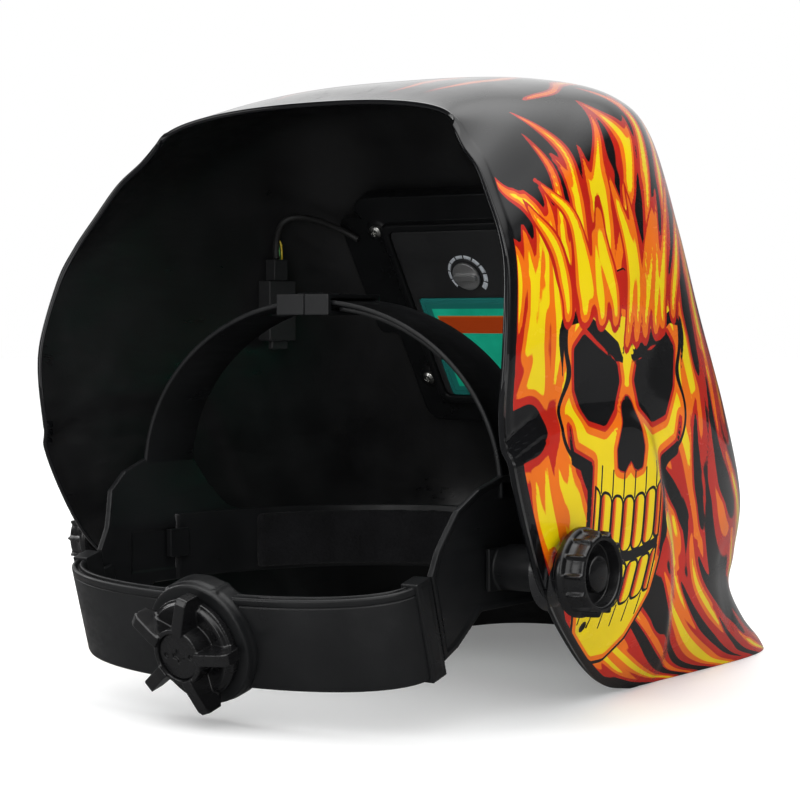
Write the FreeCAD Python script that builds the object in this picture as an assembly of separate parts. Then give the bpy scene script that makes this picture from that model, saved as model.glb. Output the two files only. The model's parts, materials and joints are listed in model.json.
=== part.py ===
import FreeCAD, Part
import math
import os

from FreeCAD import Matrix, Vector

# Welding helmet with a tilting shell, an auto-darkening filter and an adjustable headgear.
# Units are millimetres. The wearer faces -Y, +Z is up, the wearer's left is +X.
# The origin is the middle of the tilt axis, which runs along X through both side knobs.

os.makedirs("parts", exist_ok=True)

# ---------------------------------------------------------------- driving dimensions

# Shell: each row is one rib of the moulding, from the crown to the bottom edge. It starts on the
# rear rim at (half width, y, z), ends on the centre line at (front y, front z), and its
# squareness says how sharply it turns from the side wall to the front. The last row lies
# below the flat bottom edge, where the wall is trimmed.
SHELL_RIBS = (
    (75.5, 18.5, 170.0, 10.0, 183.5, 2.3),
    (82.5, 21.7, 161.5, -18.0, 191.5, 2.5),
    (92.0, 25.5, 152.5, -46.0, 196.5, 2.8),
    (101.0, 30.0, 139.0, -76.0, 199.0, 3.3),
    (109.0, 34.6, 125.6, -98.0, 195.0, 4.2),
    (114.7, 39.4, 110.6, -111.0, 181.0, 4.8),
    (118.5, 46.0, 83.0, -134.0, 144.0, 4.6),
    (117.0, 46.0, 57.0, -160.0, 103.0, 4.6),
    (116.5, 40.0, 35.0, -187.0, 60.0, 4.5),
    (114.0, 24.0, 6.0, -210.0, 20.0, 4.3),
    (109.5, 8.0, -10.0, -211.0, -8.0, 4.2),
    (104.0, -12.0, -25.0, -211.0, -24.0, 4.3),
    (96.0, -42.0, -43.0, -231.0, -42.0, 4.8),
    (89.0, -72.0, -55.0, -250.0, -54.0, 5.6),
    (86.0, -98.0, -60.0, -256.0, -60.0, 6.0),
    (84.5, -114.0, -64.5, -258.0, -64.5, 6.0),
)
SHELL_WALL = 2.1
SHELL_BOTTOM_Z = -60.0
CHEEK_BULGE = 2.4           # the wall steps out by this much around each pivot
BULGE_TOP_Z = 63.0
PIVOT_HOLE_R = 6.2
STOP_HOLE = (-27.0, -25.0, 2.2)   # y, z and radius of the spare tilt-stop hole

# Filter and window: one tilted frame, whose X is the helmet's, whose depth runs towards the
# face and whose height runs up the slope. Its origin is the middle of the window.
WINDOW_TILT = 32.0
WINDOW_Y = -155.4
WINDOW_Z = 107.3
WINDOW_W = 100.0
WINDOW_H = 80.0
BEZEL_RIM = 11.0
BEZEL_OUT = 2.2
SEAT_DEPTH = 6.4
COVER_W = 114.0
COVER_H = 94.0
COVER_T = 1.2
FILTER_W = 110.0
FILTER_H = 90.0
FILTER_T = 9.0
FILTER_FRONT = SEAT_DEPTH + COVER_T + 0.8
LCD_W = 96.0
LCD_H = 47.0
LCD_RISE = -17.0            # the viewing area sits below the middle of the filter
SOLAR_W = 84.0
SOLAR_H = 13.0
SOLAR_RISE = 27.0
INNER_LENS_W = 103.0
INNER_LENS_H = 54.0
DIAL_X = 19.0
DIAL_RISE = 21.5
DIAL_R = 7.0
FRAME_W = 140.0
FRAME_H = 118.0
HOLDER_SCREW_X = 63.0
HOLDER_SCREW_RISES = (45.0, -36.0)
SCREW_R = 1.4

# Outer shade control on the wearer's left: its own frame points out of the wall along X, with
# its origin on the outer surface.
SHADE_X = 111.2
SHADE_Y = -96.0
SHADE_Z = 100.0
SHADE_TURN = 11.0
SHADE_KNOB_R = 15.0
SHADE_KNOB_T = 12.0
SHADE_KNOB_BASE = 2.6
SHADE_SHAFT_R = 3.0
SHADE_BOX_BACK = -12.4
SHADE_BOX_FRONT = -3.8

# Pivots
KNOB_OUTER_X = 132.0
KNOB_LENGTH = 14.0
KNOB_R = 16.4
KNOB_SCALLOPS = 13
BOLT_R = 4.0
RUNNING_GAP = 0.05
SQUARE_HALF = 4.0
PAD_R = 10.5                # flat faces round each pivot hole
PAD_INNER_X = 112.4
PAD_OUTER_X = 116.2

# Headgear
BAND_T = 2.2
BAND_HALF_W = 85.0
BAND_FRONT_Y = -112.0
BAND_BOTTOM_Z = -16.0
BAND_TOP_Z = 12.0
ARM_X = 83.0
ARM_T = 2.6
ARM_LEAN = 0.3              # above LEAN_START_Z the side plates lean outwards
LEAN_START_Z = 8.0
STRAP_HALF_W = 92.5
STRAP_RISE = 74.0
STRAP_BASE_Z = 30.0
STRAP_REAR_Y = 10.0
STRAP_FRONT_Y = -20.0
STRAP_T = 2.0
SWEATBAND_T = 4.0
SWEATBAND_END_Y = -45.0

# Rear band: a sleeve in its own frame, tipped down at the back. Its depth runs backwards.
SLEEVE_TILT = 16.0
SLEEVE_Y = 49.0
SLEEVE_Z = -19.7
SLEEVE_HALF_H = 18.6
SLEEVE_T = 5.6
SLEEVE_DEPTH = 28.0
SLEEVE_HALF_W = 86.5
CLIP_HALF_LENGTH = 5.0
TAIL_HALF_H = 11.0
TAIL_X = 81.0
TAIL_T = 1.8
PITCH_R = 6.0
PINION_TEETH = 12
MODULE = 2 * PITCH_R / PINION_TEETH
BACKLASH = 0.3
RACK_CAVITY_HALF_H = 15.0
PINION_SHAFT_R = 4.0
BOSS_BORE_R = PINION_SHAFT_R + RUNNING_GAP
RATCHET_DISC_R = 20.0
RATCHET_SPOKE_R = 24.5
HUB_RING_R = 11.2

# ---------------------------------------------------------------- small helpers


def box(x0, x1, y0, y1, z0, z1):
    return Part.makeBox(x1 - x0, y1 - y0, z1 - z0, Vector(x0, y0, z0))


def rod(radius, start, direction, length):
    return Part.makeCylinder(radius, length, Vector(*start), Vector(*direction))


def tube(outer, inner, start, direction, length):
    return rod(outer, start, direction, length).cut(rod(inner, start, direction, length))


def cone(r_start, r_end, start, direction, length):
    return Part.makeCone(r_start, r_end, length, Vector(*start), Vector(*direction))


def prism_yz(points, x0, x1):
    """A polygon of (y, z) points, extruded along X."""
    corners = [Vector(x0, y, z) for y, z in points]
    corners.append(corners[0])
    return Part.Face(Part.makePolygon(corners)).extrude(Vector(x1 - x0, 0, 0))


def prism_xz(points, y0, y1):
    """A polygon of (x, z) points, extruded along Y."""
    corners = [Vector(x, y0, z) for x, z in points]
    corners.append(corners[0])
    return Part.Face(Part.makePolygon(corners)).extrude(Vector(0, y1 - y0, 0))


def plate(width, height, radius, y0, y1, x=0.0, z=0.0):
    """A rectangular plate across Y with rounded corners, centred on (x, z)."""
    solid = box(x - width / 2, x + width / 2, y0, y1, z - height / 2, z + height / 2)
    corners = [edge for edge in solid.Edges if abs(edge.tangentAt(edge.FirstParameter).y) > 0.9]
    return solid.makeFillet(radius, corners)


def fuse(*solids):
    whole = solids[0]
    for solid in solids[1:]:
        whole = whole.fuse(solid)
    return whole.removeSplitter()


def mirrored(shape):
    return shape.mirror(Vector(0, 0, 0), Vector(1, 0, 0))


def from_window(shape):
    """Moves a shape from the window's own frame to the helmet."""
    placed = shape.copy()
    placed.rotate(Vector(0, 0, 0), Vector(1, 0, 0), -WINDOW_TILT)
    placed.translate(Vector(0, WINDOW_Y, WINDOW_Z))
    return placed


def from_sleeve(shape):
    """Moves a shape from the rear band's own frame to the helmet."""
    placed = shape.copy()
    placed.rotate(Vector(0, 0, 0), Vector(1, 0, 0), -SLEEVE_TILT)
    placed.translate(Vector(0, SLEEVE_Y, SLEEVE_Z))
    return placed


def from_shade(shape):
    """Moves a shape from the shade control's own frame to the helmet."""
    placed = shape.copy()
    placed.rotate(Vector(0, 0, 0), Vector(0, 0, 1), -SHADE_TURN)
    placed.translate(Vector(SHADE_X, SHADE_Y, SHADE_Z))
    return placed


def save(name, shape):
    shape.exportStep("parts/" + name + ".step")


# ---------------------------------------------------------------- shell surface


def smooth_step(value, start, end):
    t = min(max((value - start) / (end - start), 0.0), 1.0)
    return t * t * (3 - 2 * t)


def between_rows(values, k):
    """Catmull-Rom value at k, where whole numbers are the rows."""
    i = min(int(k), len(values) - 2)
    f = k - i
    p1 = values[i]
    p2 = values[i + 1]
    p0 = values[i - 1] if i > 0 else 2 * p1 - p2
    p3 = values[i + 2] if i + 2 < len(values) else 2 * p2 - p1
    cubic = -p0 + 3 * p1 - 3 * p2 + p3
    square = 2 * p0 - 5 * p1 + 4 * p2 - p3
    return 0.5 * (2 * p1 + (p2 - p0) * f + square * f * f + cubic * f ** 3)


def rib_points(k, count):
    """Half a rib, from the rim to the centre line, in evenly spaced points."""
    half, rim_y, rim_z, front_y, front_z, square = [
        between_rows(column, k) for column in zip(*SHELL_RIBS)
    ]
    steps = 240
    fine = []
    for i in range(steps + 1):
        angle = math.pi / 2 * i / steps
        across = half * max(math.cos(angle), 0.0) ** (2 / square) if i < steps else 0.0
        along = math.sin(angle) ** (2 / square)
        y = rim_y + (front_y - rim_y) * along
        z = rim_z + (front_z - rim_z) * along
        fine.append(Vector(across, y, z))
    lengths = [0.0]
    for first, second in zip(fine, fine[1:]):
        lengths.append(lengths[-1] + first.distanceToPoint(second))
    points = []
    j = 0
    for i in range(count):
        wanted = lengths[-1] * i / (count - 1)
        while j < steps - 1 and lengths[j + 1] < wanted:
            j += 1
        f = (wanted - lengths[j]) / (lengths[j + 1] - lengths[j])
        points.append(fine[j] + (fine[j + 1] - fine[j]) * min(f, 1.0))
    return points


def bulge_at(point):
    """How far the wall stands out: a raised field around the pivot, under a curved step."""
    rear_drop = 13.0 * (max(point.y - 5.0, 0.0) / 39.0) ** 2
    below_top = BULGE_TOP_Z - rear_drop - point.z
    behind_front = 0.888 * (point.y + 62.0) - 0.459 * (point.z - 59.0)
    soft = 14.0
    gap = max(soft - abs(below_top - behind_front), 0.0)
    inside = min(below_top, behind_front) - gap * gap / (4 * soft)
    on_side = smooth_step(abs(point.x), 82.0, 98.0)
    return CHEEK_BULGE * smooth_step(inside, 0.0, 9.0) * on_side


def shell_grid():
    """The outer surface as rows of points, from the wearer's right to the left."""
    rows = []
    per_rib = 4
    half_count = 27
    for step in range((len(SHELL_RIBS) - 1) * per_rib + 1):
        left = rib_points(step / per_rib, half_count)
        right = [Vector(-p.x, p.y, p.z) for p in left]
        rows.append(right[:-1] + left[::-1])
    return rows


def grid_normals(grid):
    """Outward normals of a grid of points."""
    normals = []
    last_row = len(grid) - 1
    last_col = len(grid[0]) - 1
    for i in range(last_row + 1):
        line = []
        for j in range(last_col + 1):
            down = grid[min(i + 1, last_row)][j] - grid[max(i - 1, 0)][j]
            across = grid[i][min(j + 1, last_col)] - grid[i][max(j - 1, 0)]
            line.append(across.cross(down).normalize() * -1)
        normals.append(line)
    return normals


def moved_grid(grid, normals, distance):
    """The grid moved outwards by a distance, plus the cheek bulge."""
    rows = []
    for points, directions in zip(grid, normals):
        rows.append([p + n * (distance + bulge_at(p)) for p, n in zip(points, directions)])
    return rows


def surface_face(grid):
    surface = Part.BSplineSurface()
    surface.interpolate(grid)
    return surface.toShape()


def wall_solid(grid, normals, outside, inside):
    """A closed wall between two offsets of the shell's surface."""
    outer = surface_face(moved_grid(grid, normals, outside))
    inner = surface_face(moved_grid(grid, normals, inside))
    faces = [outer, inner]
    for outer_edge, inner_edge in zip(outer.Edges, inner.Edges):
        faces.append(Part.makeRuledSurface(outer_edge, inner_edge))
    skin = Part.makeCompound(faces)
    skin.sewShape(0.001)
    solid = Part.Solid(skin.Shells[0])
    if solid.Volume < 0:
        solid.reverse()
    return solid


# ---------------------------------------------------------------- shell and its small parts


def pivot_pads(wall, outside_wall):
    """Gives the wall flat faces round both pivot holes, and a cone outside each."""
    for shape in (lambda solid: solid, mirrored):
        cone_pad = cone(16.0, PAD_R, (108.0, 0, 0), (1, 0, 0), PAD_OUTER_X - 108.0)
        wall = wall.fuse(shape(cone_pad.common(outside_wall)))
        wall = wall.cut(shape(rod(PAD_R + 1.5, (PAD_OUTER_X, 0, 0), (1, 0, 0), 12.0)))
        wall = wall.fuse(shape(rod(PAD_R, (PAD_INNER_X, 0, 0), (1, 0, 0), 3.0)))
        wall = wall.cut(shape(rod(PAD_R, (100.0, 0, 0), (1, 0, 0), PAD_INNER_X - 100.0)))
    return wall


def shell(grid, normals):
    wall = wall_solid(grid, normals, 0.0, -SHELL_WALL)
    outside_wall = wall_solid(grid, normals, 30.0, -SHELL_WALL)
    bezel_w = WINDOW_W + 2 * BEZEL_RIM
    bezel_h = WINDOW_H + 2 * BEZEL_RIM
    bezel = plate(bezel_w, bezel_h, 12.0, -BEZEL_OUT, SEAT_DEPTH)
    wall = wall.fuse(from_window(bezel))
    frame = from_window(plate(FRAME_W, FRAME_H, 8.0, 0.8, SEAT_DEPTH))
    frame = frame.cut(wall_solid(grid, normals, 30.0, -0.6))
    wall = wall.fuse(frame)
    opening = plate(WINDOW_W, WINDOW_H, 7.0, -30.0, 30.0)
    wall = wall.cut(from_window(opening))
    for hole in screw_rods(SCREW_R + 0.05, SEAT_DEPTH - 4.2, 6.0):
        wall = wall.cut(from_window(hole))
    wall = pivot_pads(wall, outside_wall)
    wall = wall.cut(rod(PIVOT_HOLE_R, (-150, 0, 0), (1, 0, 0), 300))
    stop_y, stop_z, stop_r = STOP_HOLE
    wall = wall.cut(rod(stop_r, (-150, stop_y, stop_z), (1, 0, 0), 300))
    wall = wall.cut(from_shade(rod(SHADE_SHAFT_R + 1.2, (-20, 0, 0), (1, 0, 0), 40)))
    return wall.cut(box(-150, 150, -300, 100, -80, SHELL_BOTTOM_Z))


def front_cover_lens():
    return from_window(plate(COVER_W, COVER_H, 4.0, SEAT_DEPTH, SEAT_DEPTH + COVER_T))


def screw_rods(radius, start, length):
    """The same rod at each of the four screw places, in the window's frame."""
    places = [(side * HOLDER_SCREW_X, rise) for rise in HOLDER_SCREW_RISES for side in (-1, 1)]
    return [rod(radius, (x, start, rise), (0, 1, 0), length) for x, rise in places]


def lens_holder(outside_wall):
    """Frame behind the window: a back plate with side wings and a raised lip round the filter."""
    front = SEAT_DEPTH + COVER_T + 0.1
    back = FILTER_FRONT + FILTER_T
    plate_back = back - 2.6
    frame = plate(146.0, 124.0, 8.0, front, plate_back)
    frame = frame.fuse(plate(FILTER_W + 8.0, FILTER_H + 8.0, 5.0, front, back + 1.2))
    frame = frame.cut(plate(FILTER_W + 0.4, FILTER_H + 0.4, 3.0, -1.0, back + 5.0))
    wing_rise = 20.0
    for side in (-1, 1):
        wing = plate(16.0, 64.0, 5.0, plate_back - 2.4, plate_back, side * 76.0, wing_rise)
        frame = frame.fuse(wing)
    for boss in screw_rods(5.0, plate_back - 0.4, 1.6):
        frame = frame.fuse(boss)
    for hole in screw_rods(SCREW_R + 0.2, front - 1, 14.0):
        frame = frame.cut(hole)
    return from_window(frame.removeSplitter()).cut(outside_wall)


def holder_screws():
    """Four pan-head screws with a cross recess."""
    head_y = FILTER_FRONT + FILTER_T - 1.35
    depth = head_y - SEAT_DEPTH + 3.8
    screws = []
    for rise in HOLDER_SCREW_RISES:
        for side in (-1, 1):
            x = side * HOLDER_SCREW_X
            screw = rod(3.3, (x, head_y, rise), (0, 1, 0), 1.0)
            screw = screw.fuse(cone(3.3, 2.0, (x, head_y + 1.0, rise), (0, 1, 0), 1.0))
            screw = screw.fuse(rod(SCREW_R, (x, head_y - depth, rise), (0, 1, 0), depth + 0.5))
            bar = box(x - 1.5, x + 1.5, head_y + 0.9, head_y + 3, rise - 0.35, rise + 0.35)
            post = box(x - 0.35, x + 0.35, head_y + 0.9, head_y + 3, rise - 1.5, rise + 1.5)
            screws.append(screw.cut(bar).cut(post))
    return from_window(Part.makeCompound(screws))


# ---------------------------------------------------------------- auto-darkening filter


def filter_case():
    """The filter's case: a tray open at the front, with a window and a dial hole in its back."""
    front = FILTER_FRONT
    back = front + FILTER_T
    case = plate(FILTER_W, FILTER_H, 3.0, front + 1.0, back)
    case = case.cut(plate(FILTER_W - 4, FILTER_H - 4, 2.0, front, back - 1.8))
    case = case.cut(plate(LCD_W - 4, LCD_H - 5, 2.0, front, back + 1, 0, LCD_RISE))
    pocket = plate(INNER_LENS_W + 0.4, INNER_LENS_H + 0.4, 2.0, back - 0.9, back + 1, 0, LCD_RISE - 1)
    case = case.cut(pocket)
    case = case.cut(rod(3.0, (DIAL_X, back - 5, DIAL_RISE), (0, 1, 0), 8))
    return from_window(case)


def filter_bezel():
    """Front plate of the filter, with openings for the glass, the solar cells and the sensors."""
    front = FILTER_FRONT
    face = plate(FILTER_W, FILTER_H, 3.0, front, front + 1.0)
    face = face.cut(plate(LCD_W - 4, LCD_H - 5, 2.0, front - 1, front + 2, 0, LCD_RISE))
    face = face.cut(plate(SOLAR_W - 2, SOLAR_H - 2, 1.0, front - 1, front + 2, 0, SOLAR_RISE))
    for side in (-1, 1):
        face = face.cut(rod(2.6, (side * 47.5, front - 1, SOLAR_RISE), (0, 1, 0), 3))
    return from_window(face)


def filter_layers():
    """The glass stack, the solar cells, the circuit board and its parts, front to back."""
    front = FILTER_FRONT
    layers = {}
    layers["uv_ir_glass"] = plate(LCD_W, LCD_H, 1.0, front + 1.1, front + 2.3, 0, LCD_RISE)
    layers["lcd_cell"] = plate(LCD_W, LCD_H, 1.0, front + 2.4, front + 4.2, 0, LCD_RISE)
    layers["rear_glass"] = plate(LCD_W, LCD_H, 1.0, front + 4.3, front + 5.5, 0, LCD_RISE)
    layers["solar_cell"] = plate(SOLAR_W, SOLAR_H, 0.8, front + 1.1, front + 1.9, 0, SOLAR_RISE)
    board = plate(FILTER_W - 6, 30.0, 1.5, front + 3.0, front + 4.4, 0, 27.0)
    layers["circuit_board"] = board
    cells = [rod(5.0, (x, front + 4.5, 30.0), (0, 1, 0), 2.4) for x in (-38.0, -24.0)]
    layers["coin_cells"] = Part.makeCompound(cells)
    eyes = []
    for side in (-1, 1):
        eye = rod(2.4, (side * 47.5, front + 0.2, SOLAR_RISE), (0, 1, 0), 1.2)
        eye = eye.fuse(rod(3.4, (side * 47.5, front + 1.1, SOLAR_RISE), (0, 1, 0), 1.8))
        eyes.append(eye)
    layers["light_sensors"] = Part.makeCompound(eyes)
    body = plate(9.0, 9.0, 1.0, front + 4.5, front + 6.9, DIAL_X, DIAL_RISE)
    layers["dial_trimmer"] = body
    return {name: from_window(solid) for name, solid in layers.items()}


def sensitivity_dial():
    """Inner dial: a turned face with a finger bar, on a stem that enters the trimmer."""
    back = FILTER_FRONT + FILTER_T
    centre = (DIAL_X, back + 0.3, DIAL_RISE)
    dial = rod(DIAL_R, centre, (0, 1, 0), 1.6)
    bar = plate(2 * DIAL_R - 2, 3.0, 1.2, back + 1.8, back + 3.6, DIAL_X, DIAL_RISE)
    stem = rod(1.5, (DIAL_X, back - 1.9, DIAL_RISE), (0, 1, 0), 2.4)
    return from_window(fuse(dial, bar, stem))


def inner_cover_lens():
    back = FILTER_FRONT + FILTER_T
    rise = LCD_RISE - 1
    lens = plate(INNER_LENS_W, INNER_LENS_H, 2.0, back - 0.85, back + 0.25, 0, rise)
    return from_window(lens)


def protective_film():
    back = FILTER_FRONT + FILTER_T
    rise = LCD_RISE - 1
    film = plate(INNER_LENS_W - 5, INNER_LENS_H - 5, 2.0, back + 0.3, back + 0.55, 0, rise)
    tab = plate(8.0, 9.0, 2.0, back + 0.3, back + 0.55, -44.0, rise + 28.0)
    return from_window(fuse(film, tab))


# ---------------------------------------------------------------- outer shade control


def shade_control_box():
    """Potentiometer against the inside of the left wall, with its threaded neck."""
    housing = box(SHADE_BOX_BACK, SHADE_BOX_FRONT, -8, 8, -14, 14)
    foot = box(SHADE_BOX_BACK + 2, SHADE_BOX_BACK + 5, -5, 5, -18, -13)
    neck = rod(3.9, (SHADE_BOX_FRONT - 1, 0, 0), (1, 0, 0), 2.0 - SHADE_BOX_FRONT + 1)
    body = fuse(housing, foot, neck)
    bore = rod(SHADE_SHAFT_R + RUNNING_GAP, (SHADE_BOX_BACK + 3, 0, 0), (1, 0, 0), 20)
    return from_shade(body.cut(bore))


def shade_control_nut():
    """Thin nut outside the wall, under the knob."""
    hexagon = []
    for i in range(6):
        angle = math.radians(60 * i)
        hexagon.append((5.6 * math.cos(angle), 5.6 * math.sin(angle)))
    nut = prism_yz(hexagon, 0.7, 2.2)
    return from_shade(nut.cut(rod(3.95, (-5, 0, 0), (1, 0, 0), 10)))


def shade_knob():
    """Outer knob with a grooved grip, a pointer line and the shaft it turns."""
    top = SHADE_KNOB_BASE + SHADE_KNOB_T
    knob = rod(SHADE_KNOB_R, (SHADE_KNOB_BASE, 0, 0), (1, 0, 0), SHADE_KNOB_T)
    rim = [edge for edge in knob.Edges if abs(edge.CenterOfMass.x - top) < 0.01]
    knob = knob.makeFillet(1.5, rim)
    for i in range(20):
        angle = math.radians(18 * i)
        y = (SHADE_KNOB_R + 0.6) * math.cos(angle)
        z = (SHADE_KNOB_R + 0.6) * math.sin(angle)
        knob = knob.cut(rod(1.3, (SHADE_KNOB_BASE - 1, y, z), (1, 0, 0), SHADE_KNOB_T + 2))
    knob = knob.cut(box(top - 0.8, top + 1, -0.7, 0.7, 4, 13))
    stem_start = SHADE_BOX_BACK + 4
    stem = rod(SHADE_SHAFT_R, (stem_start, 0, 0), (1, 0, 0), SHADE_KNOB_BASE + 1 - stem_start)
    return from_shade(knob.fuse(stem))


def cable_plug():
    """Connector between the cable and the shade control, with its locking rib."""
    plug = box(-11.2, -4.6, -4, 4, 14.1, 24.0)
    rib = box(-4.6, -3.6, -1.2, 1.2, 15.0, 22.5)
    return from_shade(fuse(plug, rib))


def control_cable():
    """Cable from the filter's top left corner, over to the wall and down to the plug."""
    start = from_window(Part.Vertex(Vector(74.6, 16.4, 41.0))).Point
    plug_top = from_shade(Part.Vertex(Vector(-7.9, 0, 24.1))).Point
    points = [
        start,
        start + Vector(7.0, 6.0, 5.0),
        plug_top + Vector(-5.5, 2.0, 17.0),
        plug_top + Vector(0, 0, 9.0),
        plug_top,
    ]
    path = Part.BSplineCurve()
    path.interpolate(points)
    spine = Part.Wire(path.toShape())
    direction = path.tangent(path.FirstParameter)[0]
    profile = Part.Wire(Part.makeCircle(1.5, points[0], direction))
    cable = Part.BRepOffsetAPI.MakePipeShell(spine)
    cable.add(profile)
    cable.setFrenetMode(False)
    cable.build()
    cable.makeSolid()
    return cable.shape().cut(from_shade(box(-20, 0, -10, 10, 10, 24.05)))


# ---------------------------------------------------------------- pivots


def tension_knob():
    """Left knob: scalloped grip, collar towards the shell, recessed face with a domed cap."""
    inner_x = KNOB_OUTER_X - KNOB_LENGTH
    knob = rod(KNOB_R, (inner_x + 2.4, 0, 0), (1, 0, 0), KNOB_LENGTH - 2.4)
    for i in range(KNOB_SCALLOPS):
        angle = 2 * math.pi * i / KNOB_SCALLOPS
        y = (KNOB_R + 2.2) * math.cos(angle)
        z = (KNOB_R + 2.2) * math.sin(angle)
        knob = knob.cut(rod(3.4, (inner_x + 4.0, y, z), (1, 0, 0), KNOB_LENGTH))
    collar = cone(12.5, KNOB_R - 0.6, (inner_x, 0, 0), (1, 0, 0), 2.4)
    knob = knob.fuse(collar)
    knob = knob.cut(tube(12.2, 7.2, (KNOB_OUTER_X - 5.0, 0, 0), (1, 0, 0), 6.0))
    cap = Part.makeSphere(14.0, Vector(KNOB_OUTER_X - 14.8, 0, 0))
    cap = cap.common(rod(7.2, (KNOB_OUTER_X - 6.0, 0, 0), (1, 0, 0), 6.0))
    knob = knob.cut(rod(7.2, (KNOB_OUTER_X - 4.0, 0, 0), (1, 0, 0), 5.0)).fuse(cap)
    return knob.cut(rod(BOLT_R + RUNNING_GAP, (inner_x - 1, 0, 0), (1, 0, 0), 10.0)).removeSplitter()


def pivot_bolt():
    """Left bolt: a square head and neck held in the side plate, and a shaft through the shell."""
    head = box(ARM_X - 3.0, ARM_X - 0.1, -6.0, 6.0, -6.0, 6.0)
    neck = box(ARM_X - 0.2, 88.2, -SQUARE_HALF, SQUARE_HALF, -SQUARE_HALF, SQUARE_HALF)
    shaft = rod(BOLT_R, (86.0, 0, 0), (1, 0, 0), 40.5)
    return fuse(head, neck, shaft)


def pivot_spacer():
    """Left tilt bracket: a flange on the side plate, a sleeve to the shell and a stop lever."""
    flange_x = ARM_X + ARM_T + 0.1
    flange = box(flange_x, flange_x + 2.0, -15.0, 11.0, -9.0, LEAN_START_Z - 0.3)
    sleeve = rod(9.0, (flange_x + 0.5, 0, 0), (1, 0, 0), PAD_INNER_X - 0.1 - flange_x - 0.5)
    sleeve = sleeve.cut(box(flange_x, flange_x + 4.0, -12, 12, LEAN_START_Z - 0.3, 12))
    lever = box(102.6, 105.2, -24.0, 2.0, -4.0, 4.0)
    body = fuse(flange, sleeve, lever)
    body = body.cut(rod(BOLT_R + RUNNING_GAP, (80, 0, 0), (1, 0, 0), 40))
    socket = SQUARE_HALF + 0.1
    return body.cut(box(80.0, 88.4, -socket, socket, -socket, socket))


def shell_washer():
    """Left friction washer: a grey disc between the shell's pad and the knob, with a hub."""
    disc = rod(PAD_R - 0.3, (PAD_OUTER_X + 0.1, 0, 0), (1, 0, 0), 1.6)
    hub = rod(PIVOT_HOLE_R - 0.1, (PAD_INNER_X + 0.1, 0, 0), (1, 0, 0), 4.5)
    return fuse(disc, hub).cut(rod(BOLT_R + RUNNING_GAP, (100, 0, 0), (1, 0, 0), 30))


# ---------------------------------------------------------------- headband


def band_outline(inset):
    """The headband from above: straight sides and an oval forehead."""
    half = BAND_HALF_W - inset
    front = BAND_FRONT_Y + inset
    points = []
    for i in range(25):
        angle = math.pi * i / 24
        c = math.cos(angle)
        across = half * math.copysign(abs(c) ** (2 / 2.2), c)
        points.append(Vector(across, front * math.sin(angle) ** (2 / 2.2), 0))
    return points


def oval_solid(points, end_y, z0, z1):
    """An upright block under a curved outline that runs from +X round to -X."""
    curve = Part.BSplineCurve()
    curve.interpolate([Vector(p.x, p.y, z0) for p in points])
    first = Vector(points[0].x, points[0].y, z0)
    last = Vector(points[-1].x, points[-1].y, z0)
    left = Vector(first.x, end_y, z0)
    right = Vector(last.x, end_y, z0)
    lines = [Part.makeLine(last, right), Part.makeLine(right, left), Part.makeLine(left, first)]
    wire = Part.Wire([curve.toShape()] + lines)
    return Part.Face(wire).extrude(Vector(0, 0, z1 - z0))


def oval_strip(outer, inner, end_y, z0, z1):
    """The wall between two nested outlines, open at end_y."""
    hollow = oval_solid(inner, end_y + math.copysign(1.0, end_y - outer[len(outer) // 2].y), z0, z1)
    return oval_solid(outer, end_y, z0, z1).cut(hollow)


def strap_arch(inset, width_y):
    """Half an ellipse over the head, as a face in XZ extruded along Y."""
    curves = []
    for offset in (0.0, STRAP_T):
        half = STRAP_HALF_W - inset - offset
        rise = STRAP_RISE - inset - offset
        middle = Vector(0, 0, STRAP_BASE_Z)
        ellipse = Part.Ellipse(middle + Vector(half, 0, 0), middle + Vector(0, 0, rise), middle)
        curves.append(Part.Arc(ellipse, 0, math.pi).toShape())
    outer, inner = curves
    wire = Part.Wire([
        outer,
        Part.makeLine(outer.Vertexes[-1].Point, inner.Vertexes[-1].Point),
        inner,
        Part.makeLine(inner.Vertexes[0].Point, outer.Vertexes[0].Point),
    ])
    arch = Part.Face(wire).extrude(Vector(0, 1, 0) * width_y)
    if arch.BoundBox.YMin < -0.01:
        arch.translate(Vector(0, width_y, 0))
    return arch


def leaned(shape):
    """Shears the part of a side plate above LEAN_START_Z so that it leans outwards."""
    low = shape.common(box(0, 200, -100, 100, -100, LEAN_START_Z))
    high = shape.common(box(0, 200, -100, 100, LEAN_START_Z, 100))
    lean = Matrix()
    lean.A13 = ARM_LEAN
    lean.A14 = -ARM_LEAN * LEAN_START_Z
    return low.fuse(high.transformGeometry(lean))


def side_plate():
    """Left side of the headband, from the rear clip to the front strap, with its rising arm."""
    outline = (
        (37.5, -32.5), (29.0, -28.5), (13.0, -16.5), (-30.0, -16.0), (-46.0, -14.0),
        (-46.0, 11.0), (-36.0, 14.0), (-27.0, 24.0), (-20.0, 36.0), (10.0, 36.0),
        (24.0, 31.5), (35.0, 24.0), (42.0, 8.0), (46.0, 0.0),
    )
    body = prism_yz(outline, ARM_X, ARM_X + ARM_T)
    panel = box(ARM_X - 1.0, ARM_X + 0.8, -33.0, 28.0, -12.0, LEAN_START_Z - 1.0)
    return leaned(body.cut(panel))


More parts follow.
